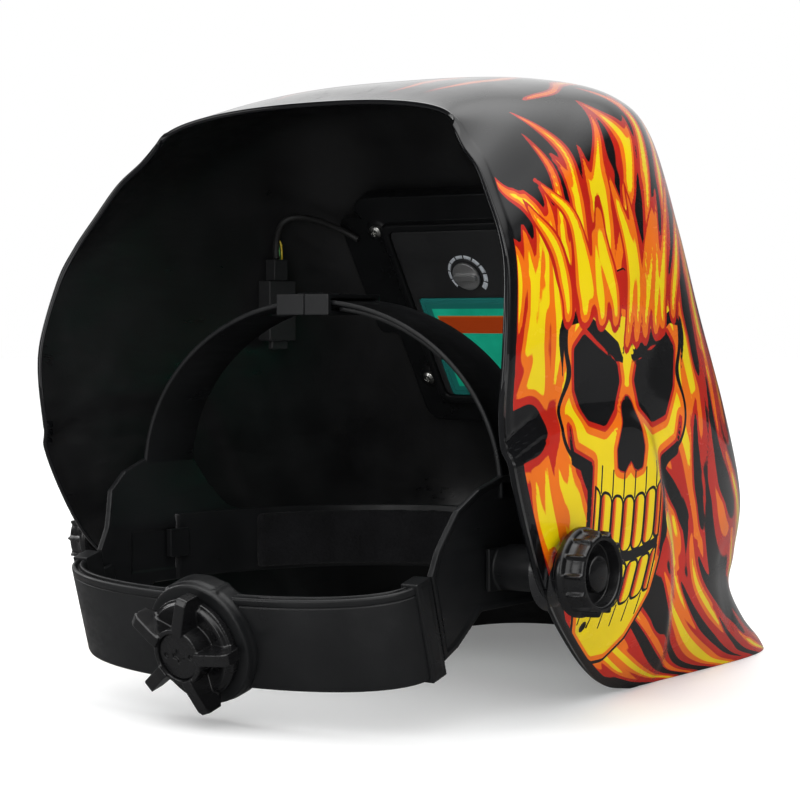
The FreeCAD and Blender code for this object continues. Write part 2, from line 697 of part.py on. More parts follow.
def headband():
    """One moulding: forehead band, side plates, crown strap and the tails that enter the sleeve."""
    band = oval_strip(band_outline(0.0), band_outline(BAND_T), -20.0, BAND_BOTTOM_Z, BAND_TOP_Z)
    arm = side_plate()
    tail = box(TAIL_X, TAIL_X + TAIL_T, -11.5, 2.0, -TAIL_HALF_H, TAIL_HALF_H)
    root = box(TAIL_X, ARM_X + 1.6, -11.5, -7.4, -TAIL_HALF_H, TAIL_HALF_H)
    side = arm.fuse(from_sleeve(fuse(tail, root)))
    band = band.fuse(side).fuse(mirrored(side))
    arch = strap_arch(0.0, STRAP_REAR_Y - STRAP_FRONT_Y)
    arch.translate(Vector(0, STRAP_FRONT_Y, 0))
    band = band.fuse(arch)
    socket = SQUARE_HALF + 0.1
    band = band.cut(box(-100.0, -70.0, -socket, socket, -socket, socket))
    return band.cut(box(70.0, 100.0, -socket, socket, -socket, socket))


def sweatband():
    """Foam pad inside the forehead strap."""
    gap = BAND_T + 0.3
    pad = oval_strip(band_outline(gap), band_outline(gap + SWEATBAND_T), -20.0,
                     BAND_BOTTOM_Z + 1, BAND_TOP_Z - 1)
    return pad.common(box(-80, 80, -140, SWEATBAND_END_Y, -40, 40))


def strap_buckle():
    """Loop round the crown strap, with the peg that sets its length."""
    middle = 3.0
    half = 13.5
    top = STRAP_BASE_Z + STRAP_RISE
    outer = box(middle - half, middle + half, STRAP_FRONT_Y - 2.4, STRAP_REAR_Y + 2.4,
                top - 6.4, top + 2.0)
    slot = box(middle - half - 1, middle + half + 1, STRAP_FRONT_Y - 0.3, STRAP_REAR_Y + 0.3,
               top - 4.6, top + 0.2)
    return outer.cut(slot)


def strap_overlap():
    """Second layer of the crown strap on the wearer's right, with its row of slots."""
    arch = strap_arch(STRAP_T + 0.2, 24.0)
    arch.translate(Vector(0, (STRAP_REAR_Y + STRAP_FRONT_Y) / 2 - 12.0, 0))
    layer = arch.common(box(-62.0, -11.5, -60, 60, 0, 140))
    for x in (-50.0, -42.0, -34.0, -26.0):
        slot = box(x - 1.5, x + 1.5, -9.0, -1.0, 60.0, 140.0)
        layer = layer.cut(slot)
    return layer


# ---------------------------------------------------------------- rear band and ratchet


def sleeve_outline(inset):
    """The rear band from above in its own frame: short straight ends and a round back."""
    half = SLEEVE_HALF_W - inset
    depth = SLEEVE_DEPTH - inset
    points = []
    for i in range(21):
        angle = math.pi * i / 20
        c = math.cos(angle)
        across = half * math.copysign(abs(c) ** (2 / 2.3), c)
        points.append(Vector(across, depth * math.sin(angle) ** (2 / 2.3), 0))
    return points


def sleeve_strip(outer_inset, inner_inset, z0, z1):
    outer = sleeve_outline(outer_inset)
    return oval_strip(outer, sleeve_outline(inner_inset), -CLIP_HALF_LENGTH, z0, z1)


def rear_band():
    """Curved hollow sleeve with a clip at each end and the ratchet's housing in the middle."""
    height = SLEEVE_HALF_H
    band = sleeve_strip(0.0, SLEEVE_T, -height, height)
    clip = box(79.6, 87.6, -CLIP_HALF_LENGTH, 4.2, -height - 1.2, height + 1.2)
    band = band.fuse(clip).fuse(mirrored(clip))
    housing = plate(60.0, 2 * height, 1.0, 21.2, 29.4)
    outside = oval_solid(sleeve_outline(0.0), -CLIP_HALF_LENGTH, -height, height)
    band = band.fuse(housing.common(outside))
    band = band.fuse(rod(24.5, (0, 26.0, 0), (0, 1, 0), 6.6))
    band = band.fuse(plate(26.0, 6.0, 1.5, 21.2, 31.0, 0, height + 1.0))
    band = band.fuse(plate(12.0, 5.0, 1.5, 22.0, 31.0, 0, -height - 2.4))
    slot_z = TAIL_HALF_H + 0.8
    band = band.cut(sleeve_strip(1.7, SLEEVE_T - 1.7, -slot_z, slot_z))
    mouth = box(TAIL_X - 0.3, TAIL_X + TAIL_T + 0.3, -CLIP_HALF_LENGTH - 1, 5.5,
                -TAIL_HALF_H - 0.4, TAIL_HALF_H + 0.4)
    band = band.cut(mouth).cut(mirrored(mouth))
    groove = sleeve_strip(2.0, SLEEVE_T - 2.0, height - 1.6, height + 4)
    groove = groove.common(box(-120, 120, -1, 40, 0, 40)).cut(box(-31, 31, 10, 40, 0, 40))
    band = band.cut(groove)
    band = band.cut(box(-29.0, 29.0, 18.0, 26.4, -RACK_CAVITY_HALF_H, RACK_CAVITY_HALF_H))
    band = band.cut(box(-39.5, 39.5, 22.9, 25.4, -12.8, 12.8))
    band = band.cut(rod(BOSS_BORE_R, (0, 20.0, 0), (0, 1, 0), 20.0))
    return from_sleeve(band)


def ratchet_cover():
    """Plate that closes the rack chamber on the head's side and carries the pinion's end."""
    half_h = RACK_CAVITY_HALF_H - 0.2
    cover = box(-28.8, 28.8, 20.4, 22.0, -half_h, half_h)
    return from_sleeve(cover.cut(rod(BOSS_BORE_R, (0, 18.0, 0), (0, 1, 0), 8.0)))


def pinion():
    """Straight-toothed pinion on a stepped shaft that carries the knob."""
    root_r = PITCH_R - 1.05 * MODULE
    tip_r = PITCH_R + 0.7 * MODULE
    half_pitch = (math.pi * MODULE / 2 - BACKLASH) / 2
    gear = rod(root_r, (0, 22.4, 0), (0, 1, 0), 3.6)
    for i in range(PINION_TEETH):
        tooth = prism_xz(
            (
                (-half_pitch * 1.35, root_r - 0.6), (half_pitch * 1.35, root_r - 0.6),
                (half_pitch, PITCH_R), (half_pitch * 0.5, tip_r),
                (-half_pitch * 0.5, tip_r), (-half_pitch, PITCH_R),
            ),
            22.4, 26.0,
        )
        tooth.rotate(Vector(0, 0, 0), Vector(0, 1, 0), 360.0 * i / PINION_TEETH)
        gear = gear.fuse(tooth)
    shaft = rod(PINION_SHAFT_R, (0, 20.4, 0), (0, 1, 0), 16.0)
    square = box(-2.6, 2.6, 36.0, 42.0, -2.6, 2.6)
    body = fuse(gear, shaft, square)
    return from_sleeve(body.cut(rod(1.25, (0, 34.0, 0), (0, 1, 0), 10.0)))


def rack(side):
    """One end of the headband: a toothed strip over or under the pinion."""
    pitch = math.pi * MODULE
    tip = PITCH_R - 0.7 * MODULE
    root = PITCH_R + 1.1 * MODULE
    strip = box(-23.0, 23.0, 23.2, 25.2, root, root + 5.4)
    half = (pitch / 2 - BACKLASH) / 2
    for i in range(-6, 6):
        x = (i + 0.5) * pitch
        points = (
            (x - half * 1.45, root + 0.2), (x - half, PITCH_R), (x - half * 0.55, tip),
            (x + half * 0.55, tip), (x + half, PITCH_R), (x + half * 1.45, root + 0.2),
        )
        strip = strip.fuse(prism_xz(points, 23.2, 25.2))
    strip = strip.removeSplitter()
    if side < 0:
        strip.rotate(Vector(0, 0, 0), Vector(0, 1, 0), 180)
    return from_sleeve(strip)


def ratchet_knob():
    """Five-spoke hand knob: a dished disc with a stepped rim, a hub ring and tapering fins."""
    disc = rod(RATCHET_DISC_R, (0, 33.0, 0), (0, 1, 0), 3.0)
    disc = disc.fuse(cone(RATCHET_DISC_R - 1.0, RATCHET_DISC_R - 1.8, (0, 36.0, 0), (0, 1, 0), 1.8))
    disc = disc.cut(cone(HUB_RING_R - 0.5, RATCHET_DISC_R - 3.0, (0, 36.2, 0), (0, 1, 0), 1.7))
    hub = rod(HUB_RING_R, (0, 36.0, 0), (0, 1, 0), 9.2)
    knob = disc.fuse(hub)
    outer = RATCHET_SPOKE_R
    for i in range(5):
        fin = prism_yz(((34.4, 9.6), (46.4, 9.6), (46.4, 13.0), (45.0, outer - 2.0), (43.6, outer),
                        (37.0, outer), (34.4, 20.5)), -2.4, 2.4)
        fin.rotate(Vector(0, 0, 0), Vector(0, 1, 0), 55.0 + 72.0 * i)
        knob = knob.fuse(fin)
    knob = knob.cut(rod(HUB_RING_R - 1.8, (0, 42.6, 0), (0, 1, 0), 5.0))
    knob = knob.cut(box(-2.65, 2.65, 30.0, 42.1, -2.65, 2.65))
    knob = knob.cut(rod(BOSS_BORE_R, (0, 30.0, 0), (0, 1, 0), 6.6))
    return from_sleeve(knob.cut(rod(1.7, (0, 40.0, 0), (0, 1, 0), 6.0)))


def knob_screw():
    """Cross-head screw with a wide washer head that holds the knob on the pinion."""
    head = rod(HUB_RING_R - 2.0, (0, 42.7, 0), (0, 1, 0), 1.4)
    head = head.cut(box(-2.9, 2.9, 43.2, 45, -0.9, 0.9))
    head = head.cut(box(-0.9, 0.9, 43.2, 45, -2.9, 2.9))
    head = head.cut(rod(1.8, (0, 43.2, 0), (0, 1, 0), 2.0))
    for side in (-1, 1):
        head = head.cut(rod(1.1, (side * 6.0, 43.2, 0), (0, 1, 0), 2.0))
    thread = rod(1.15, (0, 35.5, 0), (0, 1, 0), 7.4)
    return from_sleeve(head.fuse(thread))


# ---------------------------------------------------------------- write every part


def main():
    grid = shell_grid()
    normals = grid_normals(grid)
    outside_wall = wall_solid(grid, normals, 30.0, -SHELL_WALL - 0.2)
    save("shell", shell(grid, normals))
    save("front_cover_lens", front_cover_lens())
    save("lens_holder", lens_holder(outside_wall))
    save("holder_screws", holder_screws())
    save("filter_case", filter_case())
    save("filter_bezel", filter_bezel())
    for name, solid in filter_layers().items():
        save(name, solid)
    save("sensitivity_dial", sensitivity_dial())
    save("inner_cover_lens", inner_cover_lens())
    save("protective_film", protective_film())
    save("shade_control_box", shade_control_box())
    save("shade_control_nut", shade_control_nut())
    save("shade_knob", shade_knob())
    save("control_cable", control_cable())
    save("cable_plug", cable_plug())
    pieces = {
        "tension_knob": tension_knob(),
        "pivot_bolt": pivot_bolt(),
        "pivot_spacer": pivot_spacer(),
        "shell_washer": shell_washer(),
    }
    for name, solid in pieces.items():
        save(name + "_left", solid)
        save(name + "_right", mirrored(solid))
    save("headband", headband())
    save("sweatband", sweatband())
    save("strap_buckle", strap_buckle())
    save("strap_overlap", strap_overlap())
    save("rear_band", rear_band())
    save("ratchet_cover", ratchet_cover())
    save("pinion", pinion())
    save("rack_left", rack(1))
    save("rack_right", rack(-1))
    save("ratchet_knob", ratchet_knob())
    save("knob_screw", knob_screw())


main()
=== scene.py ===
import json
import math

import bmesh
import bpy
import numpy as np
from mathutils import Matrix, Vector


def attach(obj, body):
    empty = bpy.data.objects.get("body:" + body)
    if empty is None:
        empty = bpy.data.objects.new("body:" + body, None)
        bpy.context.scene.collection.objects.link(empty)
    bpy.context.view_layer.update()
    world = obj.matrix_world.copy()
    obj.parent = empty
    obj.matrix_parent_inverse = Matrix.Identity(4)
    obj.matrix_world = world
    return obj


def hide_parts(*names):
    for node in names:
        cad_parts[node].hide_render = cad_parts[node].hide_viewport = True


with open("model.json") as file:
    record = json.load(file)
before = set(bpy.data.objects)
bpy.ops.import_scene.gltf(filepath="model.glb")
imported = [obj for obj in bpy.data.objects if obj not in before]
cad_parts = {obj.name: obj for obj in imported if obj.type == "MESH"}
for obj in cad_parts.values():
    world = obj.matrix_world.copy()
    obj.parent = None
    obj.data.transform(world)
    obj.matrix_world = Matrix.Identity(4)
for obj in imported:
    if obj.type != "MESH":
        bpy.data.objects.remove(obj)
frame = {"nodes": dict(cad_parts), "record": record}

# Welding helmet. Helper functions take millimetres; object meshes are in metres.
bpy.context.view_layer.update()
MM = 0.001
SCENE = bpy.context.scene

# ---------------- named places, in millimetres

WINDOW_TILT = 32.0
WINDOW_ORIGIN = (0.0, -155.4, 107.3)
SLEEVE_TILT = 16.0
SLEEVE_ORIGIN = (0.0, 49.0, -19.7)
SHADE_TURN = 11.0
SHADE_ORIGIN = (111.2, -96.0, 100.0)

# The shell's ribs, as in the CAD source: rim half width, rim y, rim z, front y, front z and
# squareness, from the crown down to the flat bottom edge.
SHELL_RIBS = np.array((
    (75.5, 18.5, 170.0, 10.0, 183.5, 2.3),
    (82.5, 21.7, 161.5, -18.0, 191.5, 2.5),
    (92.0, 25.5, 152.5, -46.0, 196.5, 2.8),
    (101.0, 30.0, 139.0, -76.0, 199.0, 3.3),
    (109.0, 34.6, 125.6, -98.0, 195.0, 4.2),
    (114.7, 39.4, 110.6, -111.0, 181.0, 4.8),
    (118.5, 46.0, 83.0, -134.0, 144.0, 4.6),
    (117.0, 46.0, 57.0, -160.0, 103.0, 4.6),
    (116.5, 40.0, 35.0, -187.0, 60.0, 4.5),
    (114.0, 24.0, 6.0, -210.0, 20.0, 4.3),
    (109.5, 8.0, -10.0, -211.0, -8.0, 4.2),
    (104.0, -12.0, -25.0, -211.0, -24.0, 4.3),
    (96.0, -42.0, -43.0, -231.0, -42.0, 4.8),
    (89.0, -72.0, -55.0, -250.0, -54.0, 5.6),
    (86.0, -98.0, -60.0, -256.0, -60.0, 6.0),
    (84.5, -114.0, -64.5, -258.0, -64.5, 6.0),
))
LAST_RIB = 14.0
SHELL_WALL = 2.1
CHEEK_BULGE = 2.4
BULGE_TOP_Z = 63.0
BOTTOM_Z = -60.0
# The spare tilt-stop hole on either cheek, made as a shallow dimple under a painted dark disc that stands in
# for the opening: y, z and radius.
STOP_HOLE = (-27.0, -25.0, 2.2)

# ---------------- meshes


def turned_x(points, degrees, origin):
    """Points of a frame that is tipped about X, in the row frame."""
    p = np.asarray(points, float)
    c, s = math.cos(math.radians(degrees)), math.sin(math.radians(degrees))
    x, y, z = p[..., 0], p[..., 1], p[..., 2]
    return np.stack([x, y * c + z * s, z * c - y * s], -1) + np.array(origin)


def in_window(points):
    """From (across, depth, rise) at the middle of the tipped window."""
    return turned_x(points, WINDOW_TILT, WINDOW_ORIGIN)


def in_sleeve(points):
    """From the tipped frame of the rear band, with the head's centre line at x = 0."""
    return turned_x(points, SLEEVE_TILT, SLEEVE_ORIGIN)


def in_shade(points):
    """From the frame of the shade control, turned with the shell's left wall."""
    p = np.asarray(points, float)
    c, s = math.cos(math.radians(SHADE_TURN)), math.sin(math.radians(SHADE_TURN))
    x, y, z = p[..., 0], p[..., 1], p[..., 2]
    return np.stack([x * c + y * s, y * c - x * s, z], -1) + np.array(SHADE_ORIGIN)


def unchanged(points):
    return np.asarray(points, float)


def mirror_x(points):
    return np.asarray(points, float) * np.array((-1.0, 1.0, 1.0))


def in_sleeve_mirrored(points):
    return in_sleeve(mirror_x(points))


SIDES = (("left", unchanged), ("right", mirror_x))


def step(value, start, end):
    """0 before start, 1 after end, with a smooth rise between."""
    t = np.clip((value - start) / (end - start), 0.0, 1.0)
    return t * t * (3 - 2 * t)


def grid_faces(rows, cols, wrap_rows=False, wrap_cols=False):
    """Quads of a rows x cols grid of vertices."""
    r = np.arange(rows if wrap_rows else rows - 1)
    c = np.arange(cols if wrap_cols else cols - 1)
    rr, cc = np.meshgrid(r, c, indexing="ij")
    down, right = (rr + 1) % rows, (cc + 1) % cols
    quads = np.stack([rr * cols + cc, rr * cols + right, down * cols + right, down * cols + cc], -1)
    return quads.reshape(-1, 4)


def border_loop(rows, cols):
    """The vertices once round the border of a rows x cols grid, as (row, column)."""
    top = [(0, j) for j in range(cols)]
    right = [(i, cols - 1) for i in range(1, rows)]
    bottom = [(rows - 1, j) for j in range(cols - 2, -1, -1)]
    left = [(i, 0) for i in range(rows - 2, 0, -1)]
    return np.array(top + right + bottom + left)


def strip_faces(first, second):
    """Quads between two closed loops of vertex numbers."""
    return np.stack([first, np.roll(first, -1), np.roll(second, -1), second], -1)


def joined(*parts):
    """Several (vertices, faces) as one."""
    verts, faces, base = [], [], 0
    for v, f in parts:
        v = np.asarray(v, float).reshape(-1, 3)
        verts.append(v)
        faces.extend(tuple(int(i) + base for i in face) for face in f)
        base += len(v)
    return np.concatenate(verts), faces


def face_outward(mesh):
    work = bmesh.new()
    work.from_mesh(mesh)
    bmesh.ops.recalc_face_normals(work, faces=work.faces)
    work.to_mesh(mesh)
    work.free()


def make(name, verts, faces, fix_normals=True):
    """A smooth-shaded mesh object from millimetre vertices."""
    mesh = bpy.data.meshes.new(name)
    verts = np.asarray(verts, float).reshape(-1, 3) * MM
    mesh.from_pydata(verts.tolist(), [], [tuple(int(i) for i in f) for f in faces])
    if fix_normals:
        face_outward(mesh)
    mesh.polygons.foreach_set("use_smooth", np.ones(len(mesh.polygons), bool))
    mesh.update()
    obj = bpy.data.objects.new(name, mesh)
    SCENE.collection.objects.link(obj)
    return obj


def coordinates(obj):
    co = np.zeros(len(obj.data.vertices) * 3)
    obj.data.vertices.foreach_get("co", co)
    return co.reshape(-1, 3) / MM


def set_coordinates(obj, points):
    obj.data.vertices.foreach_set("co", (np.asarray(points) * MM).ravel())
    obj.data.update()


def give(obj, name, values):
    """A named number per vertex, for the materials."""
    data = obj.data.attributes.new(name, "FLOAT", "POINT").data
    data.foreach_set("value", values.astype(np.float32))


def baked(obj):
    """Replaces the object's mesh by its evaluated one, without modifiers."""
    graph = bpy.context.evaluated_depsgraph_get()
    mesh = bpy.data.meshes.new_from_object(obj.evaluated_get(graph), depsgraph=graph)
    obj.modifiers.clear()
    obj.data = mesh
    mesh.polygons.foreach_set("use_smooth", np.ones(len(mesh.polygons), bool))
    return obj


def softened(obj, voxel, passes=3):
    """Fuses and rounds a closed mesh, the way a moulding has no sharp edges."""
    remesh = obj.modifiers.new("Fuse", "REMESH")
    remesh.mode = "VOXEL"
    remesh.voxel_size = voxel * MM
    if passes:
        obj.modifiers.new("Round", "SMOOTH").iterations = passes
    return baked(obj)


def cut(obj, cutters):
    """Takes closed (vertices, faces) solids out of an object."""
    for verts, faces in cutters:
        tool = make("cutter", verts, faces)
        boolean = obj.modifiers.new("Cut", "BOOLEAN")
        boolean.operation = "DIFFERENCE"
        boolean.solver = "EXACT"
        boolean.object = tool
        baked(obj)
        bpy.data.objects.remove(tool)
    return obj


def cad_mesh(*nodes):
    """Copies of CAD nodes' meshes as one (vertices, faces)."""
    parts = []
    for node in nodes:
        work = bmesh.new()
        work.from_mesh(frame["nodes"][node].data)
        bmesh.ops.remove_doubles(work, verts=work.verts, dist=1e-6)
        work.verts.ensure_lookup_table()
        verts = np.array([v.co[:] for v in work.verts]) / MM
        parts.append((verts, [tuple(v.index for v in f.verts) for f in work.faces]))
        work.free()
    return joined(*parts)


def box(x0, x1, y0, y1, z0, z1, place=unchanged):
    v = np.array([(x, y, z) for x in (x0, x1) for y in (y0, y1) for z in (z0, z1)], float)
    f = [(0, 1, 3, 2), (4, 6, 7, 5), (0, 4, 5, 1), (2, 3, 7, 6), (0, 2, 6, 4), (1, 5, 7, 3)]
    return place(v), f


def rounded_path(width, height, radius):
    """Corner-rounded rectangle in the XZ plane, as points round the middle."""
    points, per_corner = [], 8
    for quarter, (sx, sz) in enumerate(((1, 1), (-1, 1), (-1, -1), (1, -1))):
        cx, cz = sx * (width / 2 - radius), sz * (height / 2 - radius)
        for i in range(per_corner + 1):
            a = math.pi / 2 * (quarter + i / per_corner)
            points.append((cx + radius * math.cos(a), cz + radius * math.sin(a)))
    return points


def swept(sections, place=unchanged, closed=False):
    """A bar through equal cross-sections, each a ring of points, capped or closed on itself."""
    verts = np.array(sections, float)
    rows, cols = verts.shape[:2]
    faces = [tuple(f) for f in grid_faces(rows, cols, closed, True)]
    if not closed:
        faces.append(tuple(range(cols)))
        faces.append(tuple(range((rows - 1) * cols, rows * cols))[::-1])
    return place(verts.reshape(-1, 3)), faces


def plate_loops(loops, place=unchanged, centre=(0.0, 0.0), closed=False):
    """A solid from rounded rectangles: each loop is (width, height, radius, depth y)."""
    rings = []
    for width, height, radius, depth in loops:
        path = rounded_path(width, height, radius)
        rings.append([(x + centre[0], depth, z + centre[1]) for x, z in path])
    return swept(rings, place, closed)


def lathe(profile, segments, place=unchanged, axis="x", bumps=0, sharp=6):
    """A turned solid about X or Y: the profile holds (along, radius[, bump height])."""
    angles = 2 * np.pi * np.arange(segments) / segments
    wave = np.maximum(np.cos(bumps * angles), 0.0) ** sharp if bumps else 0.0 * angles
    rings = []
    for item in profile:
        along, radius = item[0], item[1]
        lift = item[2] if len(item) > 2 else 0.0
        r = radius + lift * wave
        a, b = r * np.cos(angles), r * np.sin(angles)
        flat = np.full(segments, along)
        rings.append(np.stack([flat, a, b] if axis == "x" else [a, flat, b], -1))
    return swept(rings, place)


def spline(table, t):
    """Catmull-Rom values of a table's rows at each t."""
    i = np.clip(t.astype(int), 0, len(table) - 2)
    f = (t - i)[:, None]
    padded = np.vstack([2 * table[0] - table[1], table, 2 * table[-1] - table[-2]])
    a, b, c, d = padded[i], padded[i + 1], padded[i + 2], padded[i + 3]
    return 0.5 * (2 * b + (c - a) * f + (2 * a - 5 * b + 4 * c - d) * f ** 2
                  + (-a + 3 * b - 3 * c + d) * f ** 3)


def cord(points, radius, sides=10, samples=40):
    """A round cord through a few points."""
    points = np.asarray(points, float)
    path = spline(points, np.linspace(0, len(points) - 1, samples))
    tangent = np.gradient(path, axis=0)
    side = np.cross(tangent, (0.31, 0.2, 0.93))
    other = np.cross(tangent, side)
    side, other = (v / np.linalg.norm(v, axis=1)[:, None] for v in (side, other))
    angles = 2 * np.pi * np.arange(sides) / sides
    ring = side[:, None] * np.cos(angles)[None, :, None] + other[:, None] * np.sin(angles)[None, :, None]
    return swept(path[:, None] + radius * ring)


# ---------------- materials


class Value:
    """A shader number: arithmetic on it adds math nodes."""

    def __init__(self, graph, socket):
        self.graph, self.socket = graph, socket

    def __add__(self, other):
        return self.graph.math("ADD", self, other)

    def __sub__(self, other):
        return self.graph.math("SUBTRACT", self, other)

    def __rsub__(self, other):
        return self.graph.math("SUBTRACT", other, self)

    def __mul__(self, other):
        return self.graph.math("MULTIPLY", self, other)

    def __abs__(self):
        return self.graph.math("ABSOLUTE", self)

    def max(self, other):
        return self.graph.math("MAXIMUM", self, other)

    def min(self, other):
        return self.graph.math("MINIMUM", self, other)

    def mapped(self, low, high, from_low=0.3, from_high=0.7):
        node = self.graph.node("MapRange")
        for name, value in (("Value", self), ("From Min", from_low), ("From Max", from_high),
                            ("To Min", low), ("To Max", high)):
            self.graph.put(value, node.inputs[name])
        return Value(self.graph, node.outputs["Result"])

    def below(self, limit, soft=0.1):
        """1 where this is under limit, with a hair-thin edge."""
        return self.mapped(1.0, 0.0, limit - soft, limit + soft)


class Graph:
    """A node tree, with short ways to add to it."""

    def __init__(self, tree):
        self.tree = tree

    def node(self, kind):
        return self.tree.nodes.new("ShaderNode" + kind)

    def put(self, value, target):
        """Feeds a socket from another socket, a number or a colour."""
        value = getattr(value, "socket", value)
        if hasattr(value, "links"):
            self.tree.links.new(value, target)
        else:
            target.default_value = (*value, 1.0) if isinstance(value, tuple) else value

    def math(self, operation, *values):
        node = self.node("Math")
        node.operation = operation
        for value, target in zip(values, node.inputs):
            self.put(value, target)
        return Value(self, node.outputs[0])

    def split(self, vector):
        node = self.node("SeparateXYZ")
        self.put(vector, node.inputs[0])
        return [Value(self, output) for output in node.outputs]

    def mixed(self, factor, first, second):
        node = self.node("Mix")
        node.data_type = "RGBA"
        for socket, value in (("Factor", factor), (6, first), (7, second)):
            self.put(value, node.inputs[socket])
        return node.outputs[2]


class Look(Graph):
    """A material in the making, with its shader and object coordinates."""

    def __init__(self, name):
        self.material = bpy.data.materials.new(name)
        self.material.use_nodes = True
        super().__init__(self.material.node_tree)
        self.tree.nodes.clear()
        self.shader = self.node("BsdfPrincipled")
        self.put(self.shader.outputs[0], self.node("OutputMaterial").inputs[0])
        self.coords = self.node("TexCoord").outputs["Object"]

    def noise(self, scale, detail=4.0, stretch=None, distortion=0.0):
        coords = self.coords
        if stretch:
            mapping = self.node("Mapping")
            mapping.inputs["Scale"].default_value = stretch
            self.put(coords, mapping.inputs["Vector"])
            coords = mapping.outputs[0]
        node = self.node("TexNoise")
        for name, value in (("Scale", scale), ("Detail", detail), ("Distortion", distortion),
                            ("Vector", coords)):
            self.put(value, node.inputs[name])
        return Value(self, node.outputs["Fac"])

    def attribute(self, name):
        node = self.node("Attribute")
        node.attribute_name = name
        return Value(self, node.outputs["Fac"])

    def blend(self, noise, first, second):
        """A colour that wanders between two with a noise."""
        return self.mixed(noise.mapped(0.0, 1.0), first, second)

    def feed(self, **inputs):
        """Sets the shader's inputs: base_color is Base Color, and so on."""
        for name, value in inputs.items():
            name = name.replace("_", " ").title().replace("Ior", "IOR")
            self.put(value, self.shader.inputs[name])

    def bumped(self, *heights, distance=0.0002):
        """Chains bumps, each a (value, strength), into the shader's normal."""
        last = None
        for value, strength in heights:
            bump = self.node("Bump")
            for name, item in (("Strength", strength), ("Distance", distance), ("Height", value)):
                self.put(item, bump.inputs[name])
            if last:
                self.put(last, bump.inputs["Normal"])
            last = bump.outputs[0]
        self.feed(normal=last)
        return last


MATERIALS = {}


def shade(base, amount):
    return tuple(min(max(c * amount, 0.0), 1.0) for c in base)


def surface(name, color, roughness, grain=900.0, bump=0.25, tint=0.25, wear=0.08, metallic=0.0,
            coat=0.0, streak=(1.0, 0.22, 1.6), specular=0.5):
    """A moulded or machined surface: uneven colour, uneven gloss, fine grain and faint scuffs."""
    look = Look(name)
    broad = look.noise(38.0, 5.0)
    fine = look.noise(grain, 3.0)
    scuffs = look.noise(160.0, 6.0, streak, 0.6)
    base = look.blend(broad, shade(color, 1 - tint), shade(color, 1 + tint))
    base = look.mixed(fine.mapped(0.0, 0.35, 0.55, 0.75), base, shade(color, 1.5))
    gloss = broad.mapped(roughness - wear, roughness + wear) + scuffs.mapped(-wear * 0.7, wear, 0.35, 0.65)
    look.feed(base_color=base, roughness=gloss, metallic=metallic, specular_ior_level=specular,
              coat_weight=coat, coat_roughness=0.08)
    look.bumped((fine, bump), (scuffs, bump * 0.35))
    MATERIALS[name] = look.material


def glass(name, color, roughness, transmission, alpha, glow=0.0):
    """Smeared glass or clear sheet, with glow as a painted glow in the glass's own colour."""
    look = Look(name)
    base = look.blend(look.noise(30.0, 3.0), shade(color, 0.85), shade(color, 1.15))
    smear = look.noise(120.0, 5.0, (1.0, 0.4, 1.3), 0.8)
    # The emission set by glow is a painted glow, not a lamp.
    look.feed(base_color=base, roughness=smear.mapped(roughness * 0.6, roughness * 1.8), ior=1.5, alpha=alpha,
              transmission_weight=transmission, emission_color=base, emission_strength=glow)
    look.bumped((smear, 0.04))
    MATERIALS[name] = look.material


YELLOW = (0.66, 0.50, 0.003)
ORANGE = (0.64, 0.125, 0.003)
RED = (0.38, 0.011, 0.004)
GLOSS_BLACK = (0.0021, 0.0022, 0.0026)
SKULL_Y = -43.0
TOOTH_PITCH = 8.8
TOOTH_HALF = 3.5
TEETH_HALF_WIDTH = 25.8
BITE_Z = 1.8


def comb(u, shift=0.0):
    """Signed distance across to the nearest tooth's middle line, for positive u."""
    moved = u + (TOOTH_PITCH / 2 + shift)
    return moved.graph.math("MODULO", moved, TOOTH_PITCH) - TOOTH_PITCH / 2


def hypot(first, second):
    return first.graph.math("SQRT", first * first + second * second)


def tooth_row(across, rise, middle, half_height, corner):
    """Distance to a row of tall rounded blocks."""
    dx = (across - (TOOTH_HALF - corner)).max(0.0)
    dz = (abs(rise - middle) - (half_height - corner)).max(0.0)
    return hypot(dx, dz) - corner


def teeth(y, z):
    """Masks of the skull's teeth: dark lines, and the shaded rear side of each tooth."""
    u = abs(y - SKULL_Y)
    rise = z - u * u * 0.007
    across = abs(comb(u))
    upper = tooth_row(across, rise, 15.0, 10.5, 3.0)
    lower = tooth_row(across, rise, -9.5, 8.2, 2.6)
    tooth = upper.min(lower).max(u - TEETH_HALF_WIDTH)
    inside = tooth.below(0.0)
    outline = abs(tooth - 0.62).below(0.62)
    gap = abs(rise - BITE_Z)
    bite = (gap.below(2.2) - gap.max(u - 25.0).below(2.4) * inside) * u.below(26.5)
    between = abs(comb(u, TOOTH_PITCH / 2))
    gum = (between - 0.5).max(abs(rise - 30.5) - 5.5)
    jaw = (between - 0.45).max(abs(rise + 22.5) - 4.5)
    lines = gum.min(jaw).max(u - 23.0)
    dark = outline.max(bite).max(lines.below(0.0))
    side = comb(SKULL_Y + 34 * TOOTH_PITCH - y)
    return dark, inside * side.below(-1.0, 0.25), inside * side.below(-2.2, 0.25)


